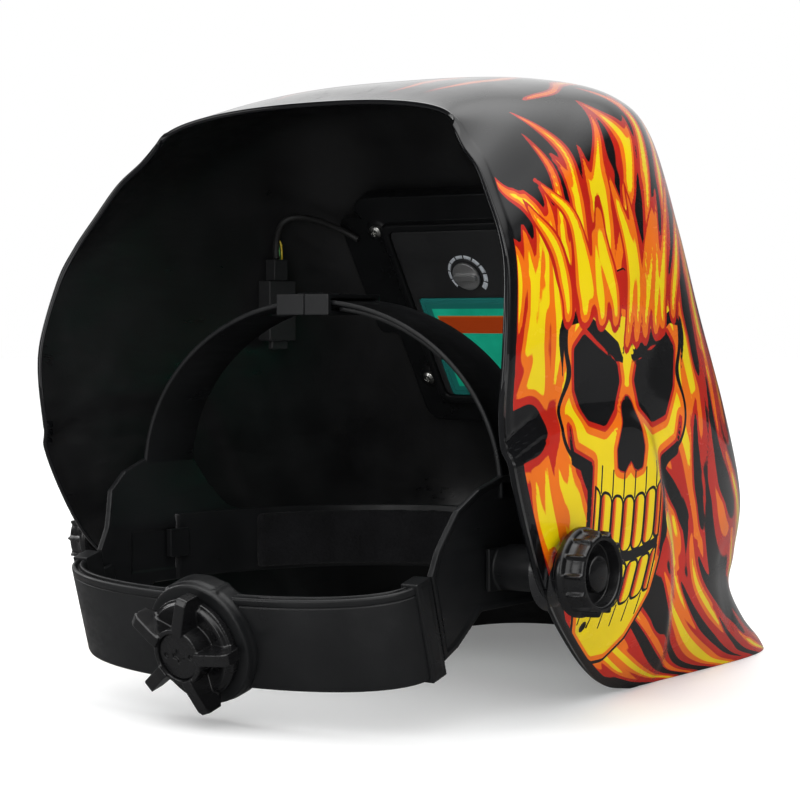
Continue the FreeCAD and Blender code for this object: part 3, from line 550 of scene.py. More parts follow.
def painted_shell():
    """Gloss black with printed flames and a skull, under a clear coat."""
    look = Look("paint")
    flame, bone, dark, shadow, crest = (
        look.attribute(name + "_field") for name in ("tongue", "bone", "dark", "shadow", "crest"))
    blotch = look.noise(26.0, 4.0)
    black, red, orange, yellow = (
        look.blend(blotch, shade(base, low), shade(base, high)) for base, low, high in (
            (GLOSS_BLACK, 1.0, 1.7), (RED, 0.82, 1.12), (ORANGE, 0.88, 1.1), (YELLOW, 0.9, 1.06)))
    _, y, z = (value * 1000.0 for value in look.split(look.coords))
    lines, shaded, deep = teeth(y, z)
    painted_hole_shade = hypot(y - STOP_HOLE[0], z - STOP_HOLE[1])
    inside = bone.below(0.0, 0.12)
    layers = (
        (flame.below(1.0, 0.03), red), (flame.below(0.56, 0.02), orange), (flame.below(0.24, 0.02), yellow),
        (bone.below(1.5, 0.12), black), (inside, orange), (bone.below(-2.2, 0.12), yellow),
        (inside * shadow.below(0.0, 0.12), orange), (inside * shadow.below(-2.4, 0.12), red),
        (inside * shaded, orange), (inside * deep, red), (inside * lines, black),
        (dark.below(0.0, 0.12), black),
        (crest.below(1.0, 0.03), red), (crest.below(0.66, 0.02), orange), (crest.below(0.34, 0.02), yellow),
        # A painted dark disc at the stop hole: painted shade in place of a real opening.
        (painted_hole_shade.below(STOP_HOLE[2]), black),
    )
    color = black
    for mask, paint in layers:
        color = look.mixed(mask, color, paint)
    haze = look.noise(90.0, 6.0, (1.0, 0.5, 1.2), 0.5)
    look.feed(base_color=color, roughness=haze.mapped(0.16, 0.3), specular_ior_level=0.05, coat_weight=1.0,
              coat_ior=1.36, coat_roughness=haze.mapped(0.025, 0.07))
    look.feed(coat_normal=look.bumped((look.noise(260.0, 2.0), 0.035), (blotch, 0.05)))
    MATERIALS["paint"] = look.material


def film_material():
    """Green film with a plain orange band and a thin orange outline, and a painted glow in its own colours
    that stands in for light from outside.
    """
    look = Look("film")
    broad = look.noise(45.0, 4.0)
    color = look.blend(broad, (0.003, 0.17, 0.10), (0.008, 0.26, 0.165))
    color = look.mixed(look.attribute("band_field").below(0.0), color, (0.21, 0.026, 0.004))
    color = look.mixed(look.attribute("outline_field").below(0.0), color, (0.28, 0.07, 0.01))
    color = look.mixed(look.attribute("edge_field").below(0.0, 0.2), (0.006, 0.07, 0.06), color)
    # The emission is a painted glow: the film shines in its own colours in place of light from outside.
    look.feed(base_color=color, emission_color=color, emission_strength=0.55,
              roughness=broad.mapped(0.1, 0.24))
    look.bumped((broad, 0.2), (look.noise(700.0, 3.0), 0.03))
    MATERIALS["film"] = look.material


def foam_material():
    """Black knitted cover over foam."""
    look = Look("foam")
    fibre = look.noise(1600.0, 4.0, (1.0, 1.0, 0.4))
    knit = look.node("TexVoronoi")
    look.put(750.0, knit.inputs["Scale"])
    look.put(look.coords, knit.inputs["Vector"])
    color = look.blend(look.noise(60.0, 4.0), (0.0025, 0.0025, 0.003), (0.006, 0.006, 0.007))
    look.feed(base_color=color, roughness=fibre.mapped(0.8, 0.97), sheen_weight=0.04, specular_ior_level=0.15)
    look.bumped((knit.outputs["Distance"], 0.7), (fibre, 0.4), distance=0.0004)
    MATERIALS["foam"] = look.material


painted_shell()
film_material()
foam_material()
surface("shell_gloss", (0.006, 0.006, 0.007), 0.2, 500.0, 0.05, coat=0.7)
surface("shell_inside", (0.0085, 0.0085, 0.009), 0.4, 1100.0, 0.22, 0.3, 0.09, specular=0.45)
surface("black_plastic", (0.006, 0.0063, 0.0068), 0.36, 1300.0, 0.2, specular=0.27)
surface("knob_plastic", (0.004, 0.004, 0.0044), 0.22, 1200.0, 0.1, 0.25, 0.06, specular=0.45)
surface("filter_plastic", (0.014, 0.0143, 0.015), 0.52, 1500.0, 0.3, 0.2, 0.07)
surface("dial_metal", (0.42, 0.42, 0.42), 0.34, 1400.0, 0.2, 0.2, 0.1, 0.85, streak=(0.3, 1.0, 3.0))
surface("steel", (0.66, 0.66, 0.63), 0.24, 1300.0, 0.18, 0.15, metallic=1.0)
surface("marking", (0.42, 0.45, 0.48), 0.5, 1500.0, 0.2, 0.15, 0.06)
surface("solar", (0.012, 0.016, 0.07), 0.2, 700.0, 0.1, 0.4, metallic=0.3, streak=(8.0, 0.1, 0.1))
surface("board", (0.012, 0.10, 0.03), 0.4, 900.0, 0.3, 0.3)
surface("grey_plastic", (0.30, 0.31, 0.32), 0.36, 1200.0, 0.15, 0.15)
surface("cable_rubber", (0.012, 0.012, 0.012), 0.5, 1500.0, 0.3, 0.2)
surface("wire_yellow", (0.45, 0.33, 0.02), 0.4, 1500.0, 0.2, 0.2)
surface("wire_green", (0.05, 0.22, 0.05), 0.4, 1500.0, 0.2, 0.2)
glass("clear_lens", (0.86, 0.92, 0.92), 0.05, 1.0, 0.35)
# The teal lens and the filter glass get a faint painted glow.
glass("teal_lens", (0.02, 0.19, 0.17), 0.09, 0.35, 1.0, 0.05)
glass("filter_glass", (0.03, 0.30, 0.24), 0.08, 0.3, 1.0, 0.1)
BODY_OF = {node: body for body, nodes in frame["record"]["behaviour"]["bodies"].items() for node in nodes}
SLOT_OF = {part["node"]: part["material_slot"] for part in frame["record"]["subparts"]}


def finish(obj, node, material=None):
    """Gives a piece its material, by default the one named by the node's slot, puts it on the node's body and
    hides the CAD node it stands for.
    """
    obj.data.materials.clear()
    obj.data.materials.append(MATERIALS[material or SLOT_OF[node]])
    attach(obj, BODY_OF[node])
    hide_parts(node)


# ---------------- shell


def shell_grid(row_count, half_count):
    """Points (rows, columns, 3) from the right rim over the front to the left rim, and each
    point's distance from the rim along its rib."""
    k = np.linspace(0.0, LAST_RIB, row_count)
    rows, distances = [], []
    angle = np.pi / 2 * np.linspace(0, 1, 500)
    for half, rim_y, rim_z, front_y, front_z, square in spline(SHELL_RIBS, k):
        across = half * np.maximum(np.cos(angle), 0.0) ** (2 / square)
        along = np.sin(angle) ** (2 / square)
        across[-1] = 0.0
        fine = np.stack([across, rim_y + (front_y - rim_y) * along,
                         rim_z + (front_z - rim_z) * along], -1)
        length = np.concatenate([[0.0], np.cumsum(np.linalg.norm(np.diff(fine, axis=0), axis=1))])
        wanted = np.linspace(0.0, length[-1], half_count)
        left = np.stack([np.interp(wanted, length, fine[:, i]) for i in range(3)], -1)
        rows.append(np.concatenate([mirror_x(left)[:-1], left[::-1]]))
        distances.append(np.concatenate([wanted[:-1], wanted[::-1]]))
    return np.array(rows), np.array(distances), k


def outward(grid):
    """Unit normals of the shell's grid."""
    down = np.gradient(grid, axis=0)
    across = np.gradient(grid, axis=1)
    normal = -np.cross(across, down)
    return normal / np.linalg.norm(normal, axis=2)[..., None]


def bulge(p):
    """The raised cheek field round each pivot, under a curved step."""
    x, y, z = p[..., 0], p[..., 1], p[..., 2]
    rear_drop = 13.0 * (np.maximum(y - 5.0, 0.0) / 39.0) ** 2
    below_top = BULGE_TOP_Z - rear_drop - z
    behind_front = 0.888 * (y + 62.0) - 0.459 * (z - 59.0)
    soft = 14.0
    gap = np.maximum(soft - np.abs(below_top - behind_front), 0.0)
    inside = np.minimum(below_top, behind_front) - gap * gap / (4 * soft)
    return CHEEK_BULGE * step(inside, 0.0, 9.0) * step(np.abs(x), 82.0, 98.0)


def capsule(y, z, start, end, radius):
    """Distance to a rounded line in the side view."""
    a, b = np.array(start, float), np.array(end, float)
    d = b - a
    t = np.clip(((y - a[0]) * d[0] + (z - a[1]) * d[1]) / (d @ d), 0.0, 1.0)
    return np.hypot(y - a[0] - t * d[0], z - a[1] - t * d[1]) - radius


def stop_hole(p):
    """Distance to the edge of the spare tilt-stop hole on either cheek."""
    away = np.hypot(p[..., 1] - STOP_HOLE[0], p[..., 2] - STOP_HOLE[1]) - STOP_HOLE[2]
    return np.where(np.abs(p[..., 0]) > 60.0, away, 50.0)


def grip_ribs(p):
    """Two short ribs between three grooves beside the rim's kink."""
    y, z = p[..., 1], p[..., 2]
    lift = np.zeros(y.shape)
    for i, (end_y, end_z) in enumerate(((25.5, 58.6), (23.0, 55.2), (20.5, 51.6))):
        start = (43.4 - 1.4 * i, 50.8 - 3.3 * i)
        lift -= 1.1 * step(-capsule(y, z, start, (end_y, end_z), 0.9), -0.7, 0.7)
    return lift * (np.abs(p[..., 0]) > 90)


def detail(p, distance):
    """Small relief on the outside: grip ribs, a pressed border along the rim, a cheek crease."""
    y, z = p[..., 1], p[..., 2]
    crease = capsule(y, z, (-150.0, -8.0), (-176.0, -38.0), 1.0)
    lift = grip_ribs(p) - 0.5 * np.exp(-(crease / 6.0) ** 2) * (np.abs(p[..., 0]) > 40)
    border = 0.35 * step(distance, 6.4, 4.8)
    return lift + border - 0.8 * step(-stop_hole(p), -2.4, 1.2)


def from_window_frame(p):
    """Row frame to the window's own (across, depth, rise)."""
    q = p - np.array(WINDOW_ORIGIN)
    c, s = math.cos(math.radians(WINDOW_TILT)), math.sin(math.radians(WINDOW_TILT))
    return q[..., 0], q[..., 1] * c - q[..., 2] * s, q[..., 1] * s + q[..., 2] * c


def window_keep(p, width, height):
    """True for the points outside a rectangle round the window."""
    across, depth, rise = from_window_frame(p)
    return (np.abs(across) > width / 2) | (np.abs(rise) > height / 2) | (depth > 60.0)


def sheet_quads(keep):
    """Quads of the shell's grid, without those whose corners are all inside the window."""
    quads = grid_faces(*keep.shape)
    return quads[keep.reshape(-1)[quads].any(axis=1)]


# ---------------- artwork on the shell


def flame_value(across, rise, seeds):
    """Union of tapering, swaying tongues: 0 on a tongue's spine, 1 at its edge."""
    field = np.full(across.shape, 9.0)
    for start_a, start_r, length, width, lean, sway, phase in seeds:
        t = (rise - start_r) / length
        tc = np.clip(t, 0.0, 1.0)
        bend = sway * np.sin(2.6 * tc + phase) * (0.35 + tc)
        centre = start_a + lean * length * tc ** 1.3 + bend
        slope = (lean * 1.3 * np.maximum(tc, 0.01) ** 0.3
                 + sway / length * (2.6 * np.cos(2.6 * tc + phase) * (0.35 + tc)
                                    + np.sin(2.6 * tc + phase)))
        body = width * (1 - tc) ** 0.85 * (0.55 + 0.45 * step(tc, 0.0, 0.25))
        foot = np.maximum(-t * length / width, 0.0) + np.maximum((t - 0.97) * length / 1.2, 0.0)
        off = np.abs(across - centre) / np.sqrt(1 + slope ** 2) / np.maximum(body, 0.5)
        field = np.minimum(field, np.sqrt(off ** 2 + foot ** 2))
    return field


def blurred(field):
    """Evens out what is finer than the grid."""
    field = np.minimum(field, 1.6)
    for axis in (0, 1):
        after, before = np.roll(field, 1, axis), np.roll(field, -1, axis)
        field = 0.25 * after + 0.5 * field + 0.25 * before
    return field


def tongues(generator, count, a_range, r_range, length, width, fan):
    """Random tongues, spread evenly across, that fan away from the middle of their range."""
    seeds = []
    middle = (a_range[0] + a_range[1]) / 2
    for i in range(count):
        spread = (i + generator.uniform(0.15, 0.85)) / count
        a = a_range[0] + (a_range[1] - a_range[0]) * spread
        seeds.append((
            a, generator.uniform(*r_range), generator.uniform(*length), generator.uniform(*width),
            fan * (a - middle) / (a_range[1] - a_range[0]) + generator.uniform(-0.12, 0.12),
            generator.uniform(3.0, 8.0) * generator.choice((-1, 1)), generator.uniform(0, 6.3),
        ))
    return seeds


def crest_row(generator, count, pitch, foot, jitter, length, width, lean, sway):
    """Tongues on the skull's brow: foot and length are (middle, change per mm off the middle)."""
    seeds = []
    for i in range(count):
        off = (i - (count - 1) / 2) * pitch
        seeds.append((
            SKULL_Y + off, foot[0] + foot[1] * abs(off) + generator.uniform(-jitter, jitter),
            generator.uniform(*length[0]) + length[1] * abs(off), generator.uniform(*width), lean * off,
            generator.uniform(*sway) * generator.choice((-1, 1)), generator.uniform(0, 6.3),
        ))
    return seeds


def ellipse(y, z, cy, cz, ry, rz):
    """Rough signed distance to an ellipse, negative inside."""
    return (np.hypot((y - cy) / ry, (z - cz) / rz) - 1) * min(ry, rz)


def polygon(y, z, corners, rounding=0.0):
    """Signed distance to a polygon, negative inside."""
    corners = np.array(corners, float)
    best = np.full(y.shape, 1e9)
    inside = np.zeros(y.shape, bool)
    for a, b in zip(corners, np.roll(corners, -1, axis=0)):
        d = b - a
        t = np.clip(((y - a[0]) * d[0] + (z - a[1]) * d[1]) / (d @ d), 0, 1)
        best = np.minimum(best, (y - a[0] - t * d[0]) ** 2 + (z - a[1] - t * d[1]) ** 2)
        edge_y = (b[0] - a[0]) * (z - a[1]) / (b[1] - a[1] + 1e-9) + a[0]
        inside ^= ((a[1] > z) != (b[1] > z)) & (y < edge_y)
    return np.where(inside, -1, 1) * np.sqrt(best) - rounding


def soft_union(first, second, soft):
    h = np.clip(0.5 + 0.5 * (second - first) / soft, 0, 1)
    return second + (first - second) * h - soft * h * (1 - h)


def skull_fields(y, z):
    """A plain front-view skull in the side view: bone, dark hollows and their shading."""
    u = np.abs(y - SKULL_Y)
    z = np.where(z > 40.0, 40.0 + (z - 40.0) / 1.22, z)
    cheek, face, jaw, eye, brow, nose, hollow, temple = (
        ellipse(u, z, 32.0, 54.0, 19.0, 13.0),
        polygon(u, z, ((-1, 66), (24, 66), (28, 40), (26, 6), (-1, 2)), 2.0),
        polygon(u, z, ((-1, 8), (29, 10), (27, -14), (19, -31), (9, -38), (-1, -38)), 2.0),
        polygon(u, z, ((7, 66), (11, 58), (21, 53), (32, 55), (39, 64), (41, 76), (35, 80), (22, 75),
                       (9, 71)), 1.2),
        polygon(u, z, ((3, 72), (9, 73), (24, 79), (38, 85), (47, 84), (40, 89), (24, 84), (8, 78)), 0.4),
        polygon(u, z, ((0.9, 60), (3.5, 58), (10, 44), (9, 38), (4.5, 37), (0.9, 41)), 1.0),
        polygon(u, z, ((30, 40), (44, 44), (47, 52), (43, 36), (37, 16), (30, 2), (29.5, 18)), 0.8),
        polygon(u, z, ((47, 92), (50, 80), (49, 68), (54, 80)), 0.4),
    )
    bone = soft_union(ellipse(u, z, 0.0, 80.0, 47.0, 22.0), cheek, 8.0)
    bone = soft_union(soft_union(bone, face, 8.0), jaw, 4.0)
    frown = np.minimum(capsule(u, z, (2.6, 84.0), (3.4, 74.0), 0.55),
                       capsule(u, z, (6.0, 90.0), (8.0, 82.0), 0.5))
    dark = np.minimum.reduce([eye, brow, nose, hollow, temple, frown])
    shadow = np.minimum.reduce([eye - 4.2, nose - 3.0, hollow - 3.6, 86.0 + 0.12 * u - z])
    bone = np.where(bone > 0.0, bone + 2.0 * step(z, 84.0, 90.0), bone)
    return bone, dark, shadow


def artwork(p, distance, k):
    """Attribute values at the shell's grid points."""
    generator = np.random.RandomState(11)
    x, y, z = np.abs(p[..., 0]), p[..., 1], p[..., 2]
    rise = np.interp(k, np.arange(len(SHELL_RIBS)), SHELL_RIBS[:, 2])[:, None] + 0 * distance
    crown_extra = np.interp(k, (0.0, 2.0, 5.0), (60.0, 34.0, 0.0))[:, None]
    rise = rise + crown_extra * step(distance, 20.0, 90.0)
    warp = 4.5 * np.sin(distance / 17.0 + rise / 29.0) + 2.2 * np.sin(rise / 9.5 - distance / 13.0)
    warp2 = 3.5 * np.sin(distance / 12.0 - rise / 21.0 + 1.3)
    a, r = distance + warp, rise + warp2

    # Rows of tongues: count, range across, range of the feet, length, width and fan.
    rows = [
        (12, (4.0, 150.0), (88.0, 108.0), (42.0, 66.0), (7.0, 11.0), 0.9),
        (9, (8.0, 140.0), (72.0, 104.0), (30.0, 46.0), (6.0, 9.0), 0.5),
        (11, (6.0, 250.0), (22.0, 58.0), (50.0, 80.0), (13.0, 18.0), 0.3),
        (12, (4.0, 250.0), (-26.0, 18.0), (50.0, 76.0), (14.0, 20.0), 0.2),
        (12, (4.0, 260.0), (-80.0, -42.0), (46.0, 70.0), (14.0, 20.0), 0.2),
        (7, (150.0, 262.0), (66.0, 100.0), (50.0, 84.0), (9.0, 12.0), -0.2),
    ]
    for low in (-34.0, 6.0, 42.0, 74.0):
        rows.append((3, (8.0, 50.0), (low - 8.0, low + 8.0), (44.0, 62.0), (9.0, 13.0), -0.3))
        rows.append((4, (256.0, 330.0), (low - 36.0, low - 16.0), (44.0, 62.0), (10.0, 14.0), 0.1))
    flame = flame_value(a, r, [seed for row in rows for seed in tongues(generator, *row)])
    wisps = tongues(generator, 5, (6.0, 74.0), (-96.0, -70.0), (60.0, 92.0), (3.4, 5.0), 0.25)
    wisp = flame_value(x + 0.5 * warp, y + warp2, wisps)
    flame = np.minimum(flame, wisp + 9.0 * (1 - step(z, 172.0, 184.0)))
    holes = tongues(generator, 8, (40.0, 250.0), (44.0, 66.0), (34.0, 54.0), (5.0, 8.0), 0.3)
    holes += tongues(generator, 9, (34.0, 250.0), (-8.0, 24.0), (34.0, 50.0), (5.0, 8.5), 0.2)
    holes += tongues(generator, 10, (10.0, 260.0), (-60.0, -24.0), (30.0, 46.0), (5.0, 8.0), 0.2)
    flame = np.maximum(flame, 1.0 + 1.2 * (1.0 - flame_value(a + 0.6 * warp2, r, holes)))
    bare = capsule(y, z, (48.0, 50.0), (29.0, 54.5), 10.0)
    flame = np.maximum(flame, 1.0 - bare / 7.0)

    crest_seeds = crest_row(generator, 10, 9.4, (88.0, 0.34), 3, ((50, 84), -0.5), (6.4, 8.4), 0.011,
                            (2.0, 5.0))
    crest_seeds += crest_row(generator, 5, 15.0, (112.0, -0.2), 6, ((34, 52), 0.0), (4.6, 6.4), 0.016,
                             (3.0, 6.0))
    off_cheek = 1 - step(x, 78.0, 92.0)
    crest = flame_value(y + 0.7 * warp, z + 0.6 * warp2, crest_seeds) + 9.0 * off_cheek
    bone, dark, shadow = skull_fields(y, z)
    border = 6.6 - distance
    bone = np.maximum(bone + 40.0 * off_cheek, border)
    dark = np.maximum(dark + 40.0 * off_cheek, bone - 3.0)
    flame = np.maximum(blurred(flame), 1.0 + 2.0 * border)
    return {"tongue_field": flame, "bone_field": bone, "dark_field": dark, "shadow_field": shadow,
            "crest_field": blurred(crest)}


def build_shell():
    """The painted outside with a rounded edge, from the rim to just inside the wall."""
    rows, half = 262, 168
    pivot_pad_radius, pivot_pad_x = 13.0, 115.8
    grid, distance, k = shell_grid(rows, half)
    normal = outward(grid)
    outer = grid + normal * (bulge(grid) + detail(grid, distance))[..., None]
    x = outer[..., 0]
    pad = (np.hypot(outer[..., 1], outer[..., 2]) < pivot_pad_radius) & (np.abs(x) > 100)
    outer[..., 0] = np.where(pad, np.sign(x) * np.minimum(np.abs(x), pivot_pad_x), x)
    inner = grid + normal * (bulge(grid) - SHELL_WALL)[..., None]
    cols = outer.shape[1]

    i, j = border_loop(rows, cols).T
    edge_outer, edge_inner = outer[i, j], inner[i, j]
    inward_point = outer[np.clip(i, 2, rows - 3), np.clip(j, 2, cols - 3)]
    out_dir = edge_outer - inward_point
    out_dir /= np.linalg.norm(out_dir, axis=1)[:, None]
    faces = [tuple(q) for q in sheet_quads(window_keep(grid, 116.0, 96.0))]
    layers, previous = [outer.reshape(-1, 3)], i * cols + j
    for share, push in ((0.12, 0.35), (0.5, 0.62), (0.88, 0.35), (1.0, 0.0), (0.9, -3.0)):
        current = sum(len(layer) for layer in layers) + np.arange(len(i))
        faces += [tuple(f) for f in strip_faces(previous, current)]
        layers.append(edge_outer + (edge_inner - edge_outer) * share + out_dir * push)
        previous = current
    verts = np.concatenate(layers)
    verts[:, 2] = np.maximum(verts[:, 2], BOTTOM_Z)
    obj = make("shell_outside", verts, faces, fix_normals=False)
    unpainted = np.full(len(verts) - rows * cols, 9.0)
    for name, values in artwork(grid, distance, k).items():
        give(obj, name, np.concatenate([values.reshape(-1), unpainted]))
    finish(obj, "shell", "paint")


def build_lining():
    """The wall's inner face, on a coarser grid."""
    grid, _, _ = shell_grid(130, 84)
    lining = grid + outward(grid) * (bulge(grid) - SHELL_WALL)[..., None]
    lining[..., 2] = np.maximum(lining[..., 2], BOTTOM_Z)
    quads = sheet_quads(window_keep(grid, 128.0, 106.0))[:, ::-1]
    finish(make("shell_inside", lining, quads, fix_normals=False), "shell", "shell_inside")


def build_window_surround():
    """Raised bezel round the window, and the seat for the cover lens behind it."""
    outside = (
        (138.0, 116.0, 7.0, 2.4), (139.4, 117.4, 7.6, 5.0), (140.0, 118.0, 8.0, 5.8),
        (139.2, 117.2, 7.6, 6.4), (101.2, 81.2, 7.4, 6.4), (100.0, 80.0, 7.0, 5.8),
    )
    loops = (
        (101.2, 81.2, 7.4, 6.4), (100.0, 80.0, 7.0, 5.8), (100.0, 80.0, 7.0, -1.3),
        (100.7, 80.7, 7.3, -2.0), (102.0, 82.0, 8.0, -2.2), (120.0, 100.0, 11.0, -2.2),
        (121.4, 101.4, 11.7, -1.9), (122.0, 102.0, 12.0, -1.2), (122.0, 102.0, 12.0, 6.0),
    )
    surround = make("window_surround", *plate_loops(loops, in_window, closed=True))
    finish(surround, "shell", "shell_gloss")
    seat = make("window_seat", *plate_loops((*outside, (100.4, 80.4, 7.0, 3.0)), in_window, closed=True))
    finish(seat, "shell", "shell_inside")


def build_pivot_pads():
    profile = ((110.0, 6.2), (116.0, 6.2), (116.2, 6.5), (116.2, 10.0), (116.05, 10.5), (115.2, 11.2),
               (112.0, 13.4), (108.5, 15.7))
    for side, place in SIDES:
        verts, faces = lathe(profile, 96, place)
        finish(make("pivot_pad_" + side, verts, faces[:-2]), "shell", "shell_gloss")


build_shell()
build_lining()
build_window_surround()
build_pivot_pads()

# ---------------- pieces softened from the CAD

# Piece, CAD node, voxel, smoothing passes and, where it isn't the node's slot, the material.
SOFT_PIECES = [
    ("holder_plate", "lens_holder", 0.62, 3),
    ("holder_screw_set", "holder_screws", 0.2, 2),
    ("cartridge_case", "filter_case", 0.55, 2),
    ("cartridge_bezel", "filter_bezel", 0.45, 2),
    ("inner_dial", "sensitivity_dial", 0.28, 2, "dial_metal"),
    ("shade_box", "shade_control_box", 0.45, 3),
    ("shade_nut", "shade_control_nut", 0.22, 1),
    ("shade_dial", "shade_knob", 0.42, 3),
    ("plug_body", "cable_plug", 0.3, 3),
    ("cable", "control_cable", 0.35, 2),
    ("strap_second_layer", "strap_overlap", 0.4, 3),
    ("ratchet_hand_knob", "ratchet_knob", 0.36, 3),
    ("hub_screw", "knob_screw", 0.24, 2),
    ("pinion_gear", "pinion", 0.25, 1),
    ("upper_rack", "rack_left", 0.3, 1),
    ("lower_rack", "rack_right", 0.3, 1),
    ("rack_cover", "ratchet_cover", 0.45, 2),
    ("battery_cells", "coin_cells", 0.3, 2),
    ("trimmer", "dial_trimmer", 0.3, 2),
    ("sensor_eyes", "light_sensors", 0.25, 2),
]
for side, _ in SIDES:
    SOFT_PIECES += [
        ("bolt_" + side, "pivot_bolt_" + side, 0.35, 2, "black_plastic"),
        ("tilt_bracket_" + side, "pivot_spacer_" + side, 0.42, 3),
        ("washer_" + side, "shell_washer_" + side, 0.3, 2),
    ]

for name, node, voxel, passes, *material in SOFT_PIECES:
    finish(softened(make(name, *cad_mesh(node)), voxel, passes), node, *material)

# ---------------- window layers

LAYER_BACK = 17.4
GLASS_RISE = -18.0


def build_inner_lens():
    """A plate with a ground edge."""
    loops = ((102.2, 53.2, 1.6, LAYER_BACK - 0.8), (103.0, 54.0, 2.0, LAYER_BACK - 0.6),
             (103.0, 54.0, 2.0, LAYER_BACK - 0.1), (101.6, 52.6, 1.5, LAYER_BACK + 0.25))
    lens = make("inner_lens", *plate_loops(loops, in_window, (0.0, GLASS_RISE)))
    finish(lens, "inner_cover_lens", "teal_lens")


def build_film():
    """A slightly wavy sheet with the distances that its print is drawn from."""
    a, r = np.meshgrid(np.linspace(-48.9, 48.9, 197), np.linspace(-24.4, 24.4, 99), indexing="ij")
    lift = 0.08 * np.sin(a / 9.0) * np.sin(r / 7.0)
    front = np.stack([a, LAYER_BACK + 0.42 + lift, r + GLASS_RISE], -1)
    rear = np.stack([a, LAYER_BACK + 0.30 + 0 * a, r + GLASS_RISE], -1)
    quads = grid_faces(*a.shape)
    i, j = border_loop(*a.shape).T
    border = i * a.shape[1] + j
    faces = [*quads, *(quads[:, ::-1] + a.size), *strip_faces(border, border + a.size)]
    film = make("film_sheet", in_window(np.concatenate([front.reshape(-1, 3), rear.reshape(-1, 3)])), faces)
    across, rise = np.abs(a), np.abs(r)
    for name, values in (
        ("band_field", np.maximum(across - 43.5, np.abs(r - 12.8) - 4.6)),
        ("outline_field", np.abs(np.maximum(across - 43.5, rise - 17.4)) - 0.35),
        ("edge_field", np.maximum(across - 45.6, rise - 21.6)),
    ):
        give(film, name, np.tile(values.reshape(-1), 2))
    finish(film, "protective_film", "film")


def build_dial_ticks():
    """Ten arcs round the dial, each thicker than the last."""
    centre_x, centre_z, radius = 19.0, 21.5, 9.6
    parts = []
    for i in range(10):
        start = math.radians(-128.0 + 27.0 * i)
        span = math.radians(22.5 if i > 2 else 24.0)
        thick = 1.1 + 0.14 * i
        inner, outer = radius - thick / 2, radius + thick / 2
        corners = ((inner, -0.1), (outer, -0.1), (outer, 0.12), (inner, 0.12))
        arc = []
        for j in range(9):
            s, c = math.sin(start + span * j / 8), math.cos(start + span * j / 8)
            arc.append([(centre_x - r * s, LAYER_BACK + depth, centre_z + r * c) for r, depth in corners])
        parts.append(swept(arc, in_window))
    finish(make("dial_ticks", *joined(*parts)), "filter_case", "marking")


build_inner_lens()
build_film()
build_dial_ticks()
for node, material in (("uv_ir_glass", "filter_glass"), ("lcd_cell", "filter_glass"),
                       ("rear_glass", "filter_glass"), ("front_cover_lens", "clear_lens"),
                       ("solar_cell", "solar"), ("circuit_board", "board")):
    frame["nodes"][node].data.materials.clear()
    frame["nodes"][node].data.materials.append(MATERIALS[material])


def build_wires():
    """Two thin wires that leave the plug beside its cable."""
    top = in_shade([(-9.0, -3.0, 24.0)])[0]
    for name, shift in (("wire_yellow", 0.0), ("wire_green", 1.4)):
        start = top + np.array((shift, 1.0, -0.4))
        bends = ((0.0, 0.0, 0.0), (-0.4, 0.6, 4.0), (0.4, 0.4, 8.0), (1.8 - shift, 1.8, 10.5))
        finish(make(name, *cord([start + bend for bend in bends], 0.45)), "control_cable", name)


build_wires()

# ---------------- side knobs


def build_tension_knobs():
    """Knobs with scalloped rims and a recessed face: the profile is (x, radius, lobe height)."""
    lobes = 13
    profile = (
        (118.0, 4.2), (118.0, 11.6), (118.25, 12.3), (119.8, 15.6), (120.6, 16.8), (121.4, 17.3),
        (122.9, 17.3), (123.7, 17.0), (124.3, 15.9, 0.3), (124.7, 15.2, 1.5), (128.0, 15.0, 1.7),
        (130.9, 14.8, 1.7), (131.6, 14.5, 1.6), (131.95, 14.1, 1.0), (132.0, 13.7, 0.3), (132.0, 13.1),
        (131.75, 12.6),
        (131.2, 12.4), (127.4, 12.0), (127.0, 11.7), (126.9, 11.1), (126.9, 7.8), (127.1, 7.4), (127.6, 7.2),
        (129.6, 7.1), (130.2, 6.8), (130.75, 5.6), (131.1, 3.6), (131.25, 1.4), (131.28, 0.05),
    )
    for side, place in SIDES:
        knob = make("side_knob_" + side, *lathe(profile, lobes * 18, place, bumps=lobes, sharp=5))
        finish(knob, "tension_knob_" + side)


build_tension_knobs()

# ---------------- rear band


def band_sections(profile, half, depth, squareness, end_y, angles):
    """Cross-sections of a band, from one straight end round a superellipse to the other."""
    power, inward = 2 / squareness, math.copysign(1.0, -depth)
    sections = [[(half - i, end_y, z) for i, z in profile]]
    for angle in angles:
        across = math.copysign(abs(math.cos(angle)) ** power, math.cos(angle))
        along = max(math.sin(angle), 0.0) ** power
        sections.append([((half - i) * across, (depth + inward * i) * along, z) for i, z in profile])
    sections.append([(i - half, end_y, z) for i, z in profile])
    return sections


def build_sleeve():
    """The band round the back of the head: the profile is (inset from the outer face, height)."""
    profile = (
        (0.0, -17.2), (0.3, -18.2), (1.2, -18.6), (4.4, -18.6), (5.3, -18.2), (5.6, -17.2), (5.6, 0.0),
        (5.6, 17.2), (5.3, 18.2), (4.5, 18.6), (3.9, 18.6), (3.62, 18.4), (3.55, 17.4), (3.3, 17.0),
        (2.3, 17.0), (2.05, 17.4), (1.98, 18.4), (1.7, 18.6), (0.9, 18.6), (0.25, 18.3), (0.0, 17.6),
        (0.0, 16.0), (0.1, 15.8), (0.35, 15.7), (0.35, 15.2), (0.1, 15.1), (0.0, 14.8), (0.0, 0.0),
    )
    sections = band_sections(profile, 86.5, 28.0, 2.3, -4.6, np.pi * np.arange(121) / 120)
    finish(make("rear_sleeve", *swept(sections, in_sleeve)), "rear_band")


def build_band_clips():
    parts = []
    for place in (in_sleeve, in_sleeve_mirrored):
        parts.append(box(79.8, 87.4, -4.9, 4.0, -19.6, 19.6, place))
        parts.append(box(86.0, 87.6, -2.6, 1.8, -17.5, 17.5, place))
    finish(softened(make("band_clips", *joined(*parts)), 0.42), "rear_band")


